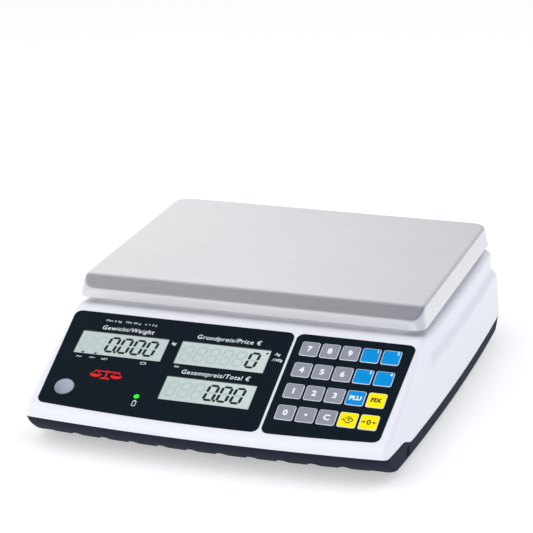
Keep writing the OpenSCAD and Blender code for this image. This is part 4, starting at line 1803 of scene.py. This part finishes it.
@dataclass
class Panel:
    """The printed overlays, the level lens and the charge lamp."""

    level_radius: float = 8.3
    lamp_radius: float = 2.2

    def build(self) -> None:
        """Dresses the films and adds all printing, the lens and the lamp."""
        dress_node("display_overlay", Finishes.OVERLAY)
        dress_node("keypad_overlay", Finishes.OVERLAY)
        dress_node("keypad_circuit", Finishes.BLACK_PART)
        white = [
            self.text("Gewicht/Weight", 4.8, -94.2, -21.3, 0.03, 45.5),
            self.text("Grundpreis/Price €", 4.8, -6.0, -20.1, 0.03, 55),
            self.text("Gesamtpreis/Total €", 4.8, -5.0, -59.8, 0.03, 58),
            self.text("kg", 3.1, -50.5, -30.4, 0.05), self.text("/kg", 2.8, 38.2, -29.8, 0.04),
            self.text("/100g", 2.8, 39.6, -36.0, 0.04),
            self.text("Max 6 kg   Min 20 g   e = 2 g", 2.2, -94.2, -12.6, 0.0, 45.3),
            self.text("NET", 2.2, -102.9, -55.5), self.text("FIX", 2.2, -40.0, -54.7),
        ]
        for kind, u, v, quarter in (
            (Glyph.WAVE, -125.5, -55.4, 0), (Glyph.ZERO_SMALL, -113.8, -55.2, 0),
            (Glyph.BATTERY, -69.2, -55.3, 0), (Glyph.BATTERY, -61.5, -98.8, 1),
        ):
            upright = Matrix.Rotation(math.pi / 2 * quarter, 4, "Z") @ Matrix.Scale(1 + 0.25 * quarter, 4)
            white += PRINTER.glyph(kind, PLAN.on_panel(u, v, 0.4) @ upright)
        marked("panel_printing", "housing", white, Finishes.INK_WHITE)
        red = PRINTER.glyph(Glyph.BALANCE, PLAN.on_panel(-95, -71, 0.4))
        marked("panel_emblem", "housing", red, Finishes.INK_RED)
        # The lens's finish paints its light and shade as a gradient.
        level = self.dome("level_lens_painted_shade", PLAN.level_at, self.level_radius, 8.0, 3.4, Finishes.LEVEL)
        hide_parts("level_vial")
        lamp = self.dome("lamp_lens", PLAN.lamp_at, self.lamp_radius, 3.3, 0.9, Finishes.GREEN)
        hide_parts("charge_led")

    def text(
        self, words: str, size: float, u: float, v: float, bold: float = 0.0, length: float = 0.0,
    ) -> bpy.types.Mesh:
        """Returns words printed on the panel, leaning a little, and drawn out to a length if one is given."""
        return PRINTER.word(words, size, PLAN.on_panel(u, v, 0.4), bold, 0.12, length)

    def dome(
        self, name: str, spot: Pair, radius: float, depth: float, rise: float, finish: Finish,
    ) -> bpy.types.Object:
        """Adds a low domed lens to the panel.

        Args:
            name: The piece's name.
            spot: Its middle on the panel.
            radius: Its radius, in millimetres.
            depth: How far it reaches down.
            rise: How far its middle stands up.
            finish: Its finish.

        Returns:
            The lens.
        """
        quarter = [math.radians(90 * k / 14) for k in range(15)]
        bow = [(radius * math.cos(turn), 0.1 + rise * math.sin(turn)) for turn in quarter]
        profile = [(0, -depth), (radius, -depth), *bow]
        piece = new_piece(name, recalculated(turned(name, profile, PLAN.on_panel(*spot), 64)), [finish])
        soften(piece, 50)
        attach(piece, "housing")
        return piece


class KeyColour(Enum):
    """What a key is printed in."""

    GREY = "grey"
    BLUE = "blue"
    YELLOW = "yellow"


@dataclass(frozen=True)
class Key:
    """One key: its node's ending, its colour and what it shows."""

    ending: str
    colour: KeyColour
    sign: str | Glyph
    size: float = 5.6


def greys(signs: str) -> tuple[Key, ...]:
    """Returns plain grey keys, one for each sign."""
    return tuple(Key(sign, KeyColour.GREY, sign) for sign in signs)


def presets(*numbers: int) -> tuple[Key, ...]:
    """Returns blue preset keys, which show their number in a corner."""
    return tuple(Key(f"preset_{number}", KeyColour.BLUE, str(number), 3.0) for number in numbers)


@dataclass
class Keypad:
    """The twenty keys of the panel, each on its own body."""

    first_u: float = 62.3
    first_v: float = -20.0
    pitch_u: float = 16.86
    pitch_v: float = 23.15
    width: float = 15.0
    height: float = 15.5
    corner: float = 1.8
    border: float = 0.5
    low: float = -0.6
    high: float = 0.8
    rows: tuple[tuple[Key, ...], ...] = (
        greys("789") + presets(1, 2),
        greys("456") + presets(3, 4),
        (*greys("123"), Key("lookup", KeyColour.BLUE, "PLU", 4.2), Key("fix", KeyColour.YELLOW, "FIX", 4.2)),
        (
            *greys("0"), Key("point", KeyColour.GREY, "•"), Key("clear", KeyColour.GREY, "C"),
            Key("tare", KeyColour.YELLOW, Glyph.TARE), Key("zero", KeyColour.YELLOW, Glyph.ZERO),
        ),
    )

    def build(self) -> None:
        """Builds every key with its printing."""
        face_of = {
            KeyColour.GREY: Finishes.KEY_GREY, KeyColour.BLUE: Finishes.KEY_BLUE,
            KeyColour.YELLOW: Finishes.KEY_YELLOW,
        }
        for row, keys in enumerate(self.rows):
            for column, key in enumerate(keys):
                u = self.first_u + self.pitch_u * column
                v = self.first_v - self.pitch_v * row
                name = "key_" + key.ending
                place = PLAN.on_panel(u, v)
                outline = rounded_outline(self.width, self.height, self.corner)
                cap = painted(slab("cap", outline, self.low, self.high - 0.12, place, 0.3), 0)
                inner = rounded_outline(
                    self.width - 2 * self.border, self.height - 2 * self.border, self.corner - self.border)
                face = painted(slab("face", inner, self.high - 0.4, self.high, place, 0.14), 1)
                piece = new_piece(
                    name + "_cap", joined(name, [cap, face]), [Finishes.KEY_EDGE, face_of[key.colour]])
                soften(piece, 40)
                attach(piece, name)
                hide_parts(name)
                self.print_on(key, name, u, v)

    def print_on(self, key: Key, name: str, u: float, v: float) -> None:
        """Prints a key's sign on its face.

        Args:
            key: The key.
            name: The key's body.
            u: Its middle across the panel.
            v: Its middle up the panel.
        """
        ink = Finishes.INK_BLACK if key.colour is KeyColour.YELLOW else Finishes.INK_WHITE
        if isinstance(key.sign, Glyph):
            meshes = PRINTER.glyph(key.sign, PLAN.on_panel(u, v, self.high))
        elif key.ending.startswith("preset"):
            corner = PLAN.on_panel(u + self.width / 2 - 2.6, v + self.height / 2 - 2.8, self.high)
            meshes = [PRINTER.word(key.sign, key.size, corner, 0.1)]
        else:
            meshes = [PRINTER.word(key.sign, key.size, PLAN.on_panel(u, v, self.high), 0.26)]
        marked(name + "_sign", name, meshes, ink)


# ---------------------------------------------------------------- everything else on the frame


@dataclass
class Fittings:
    """Pieces whose CAD shape stays and only takes its finish."""

    corners: tuple[str, ...] = ("fl", "fr", "bl", "br")
    finish_of: dict[str, Finish] = field(default_factory=lambda: {
        "spider_pads": Finishes.RUBBER, "pan_spider": Finishes.CAST, "spider_screws": Finishes.ZINC,
        "load_cell": Finishes.MILLED, "load_cell_spacer": Finishes.MILLED, "load_cell_screws": Finishes.ZINC,
        "overload_stop_screw": Finishes.ZINC, "overload_stop_nut": Finishes.ZINC,
        "case_screws": Finishes.ZINC,
        "display_board": Finishes.BOARD, "main_board": Finishes.BOARD, "rear_board": Finishes.BOARD,
        "battery": Finishes.BLACK_PART, "battery_strap": Finishes.ZINC, "battery_door": Finishes.BASE,
        "power_rocker": Finishes.BLACK_PART, "power_switch_body": Finishes.BLACK_PART,
        "power_inlet": Finishes.BLACK_PART, "rear_window": Finishes.REAR_FILM,
    })

    def build(self) -> None:
        """Dresses each fitting and the feet."""
        for node, finish in self.finish_of.items():
            dress_node(node, finish)
        for corner in self.corners:
            dress_node("foot_screw_" + corner, Finishes.ZINC)
            dress_node("foot_pad_" + corner, Finishes.RUBBER)


# ---------------------------------------------------------------- studio


@dataclass
class Studio:
    """The pale floor, the soft lights and the camera."""

    eye: Point = (0.534, -1.5206, 0.682)
    azimuth: float = 19.44
    elevation: float = 19.55
    roll: float = -1.21
    lens: float = 137.65

    def build(self) -> None:
        """Makes the floor, the lights, the sky and the camera."""
        self.camera()
        self.floor()
        self.sky()
        self.light("key", (-0.8, -1.2, 1.9), 2.2, 23)
        self.light("side", (1.3, 0.1, 1.9), 1.6, 13)
        bpy.context.scene.view_settings.view_transform = "Standard"

    def camera(self) -> None:
        """Makes the camera at the viewing place."""
        a, e, r = (math.radians(v) for v in (self.azimuth, self.elevation, self.roll))
        back = Vector((math.sin(a) * math.cos(e), -math.cos(a) * math.cos(e), math.sin(e)))
        right = Vector((0, 0, 1)).cross(back).normalized()
        up = back.cross(right)
        across = right * math.cos(r) + up * math.sin(r)
        above = up * math.cos(r) - right * math.sin(r)
        data = bpy.data.cameras.new("camera")
        data.lens = self.lens
        data.sensor_width = 36
        data.clip_end = 50
        eye = bpy.data.objects.new("camera", data)
        rows = Matrix((across, above, back)).transposed().to_4x4()
        eye.matrix_world = Matrix.Translation(Vector(self.eye)) @ rows
        bpy.context.scene.collection.objects.link(eye)
        bpy.context.scene.camera = eye

    def floor(self) -> None:
        """Makes the pale, faintly lit floor."""
        points = [(-7, -6, 0), (7, -6, 0), (7, 9, 0), (-7, 9, 0)]
        bench = Bench("floor_paper")
        bench.set(
            Base_Color=linear(212, 212, 212), Roughness=0.95,
            Emission_Color=(1.0, 1.0, 1.0), Emission_Strength=0.45,
        )
        piece = bpy.data.objects.new("floor", mesh_of("floor", points, [(0, 1, 2, 3)]))
        bpy.context.scene.collection.objects.link(piece)
        piece.data.materials.append(bench.material)

    def sky(self) -> None:
        """Makes a soft sky, darker towards the zenith and to the right."""
        world = bpy.data.worlds.new("sky")
        bpy.context.scene.world = world
        world.use_nodes = True
        tree = world.node_tree
        shade = tree.nodes["Background"]
        where = tree.nodes.new("ShaderNodeTexCoord")
        parts = tree.nodes.new("ShaderNodeSeparateXYZ")
        mix = tree.nodes.new("ShaderNodeMix")
        mix.data_type, mix.blend_type = "RGBA", "MULTIPLY"
        mix.inputs[0].default_value = 1.0
        tree.links.new(where.outputs["Generated"], parts.inputs[0])
        bands = {
            "Z": (
                (0.0, (0.46, 0.47, 0.5)), (0.24, (1.0, 1.0, 1.0)), (0.42, (0.96, 0.96, 0.96)),
                (0.6, (0.64, 0.65, 0.68)), (0.96, (0.37, 0.38, 0.4)),
            ),
            "X": ((0.33, (1.0, 1.0, 1.0)), (0.45, (0.6, 0.62, 0.66)), (1.0, (0.68, 0.71, 0.77))),
        }
        for socket, (axis, stops) in zip((6, 7), bands.items()):
            span = tree.nodes.new("ShaderNodeMapRange")
            span.inputs["From Min"].default_value = 0.0 if axis == "Z" else -1.0
            ramp = tree.nodes.new("ShaderNodeValToRGB")
            ramp.color_ramp.interpolation = "EASE"
            for count, (place, colour) in enumerate(stops):
                if count < 2:
                    stop = ramp.color_ramp.elements[count]
                    stop.position = place
                else:
                    stop = ramp.color_ramp.elements.new(place)
                stop.color = (*colour, 1)
            tree.links.new(parts.outputs[axis], span.inputs["Value"])
            tree.links.new(span.outputs[0], ramp.inputs[0])
            tree.links.new(ramp.outputs[0], mix.inputs[socket])
        tree.links.new(mix.outputs[2], shade.inputs["Color"])
        shade.inputs["Strength"].default_value = 1.22

    def light(self, name: str, place: Point, size: float, power: float) -> None:
        """Makes a square soft light that looks at the scale.

        Args:
            name: Its name.
            place: Where it hangs, in metres.
            size: Its side, in metres.
            power: Its power, in watts.
        """
        data = bpy.data.lights.new(name, "AREA")
        data.size = size
        data.energy = power
        lamp = bpy.data.objects.new(name, data)
        lamp.location = place
        lamp.visible_glossy = False
        lamp.rotation_euler = (Vector(place) - Vector((0, 0, 0.05))).to_track_quat("Z", "Y").to_euler()
        bpy.context.scene.collection.objects.link(lamp)


def main() -> None:
    """Builds the whole scene and notes its size."""
    logging.basicConfig(level=logging.INFO, format="%(name)s %(message)s")
    Studio().build()
    bars = Scatter()
    Pan().build()
    housing = Housing()
    housing.cover()
    housing.base()
    Displays().build(bars)
    Panel().build()
    Keypad().build()
    Fittings().build()


if __name__ == "__main__":
    main()
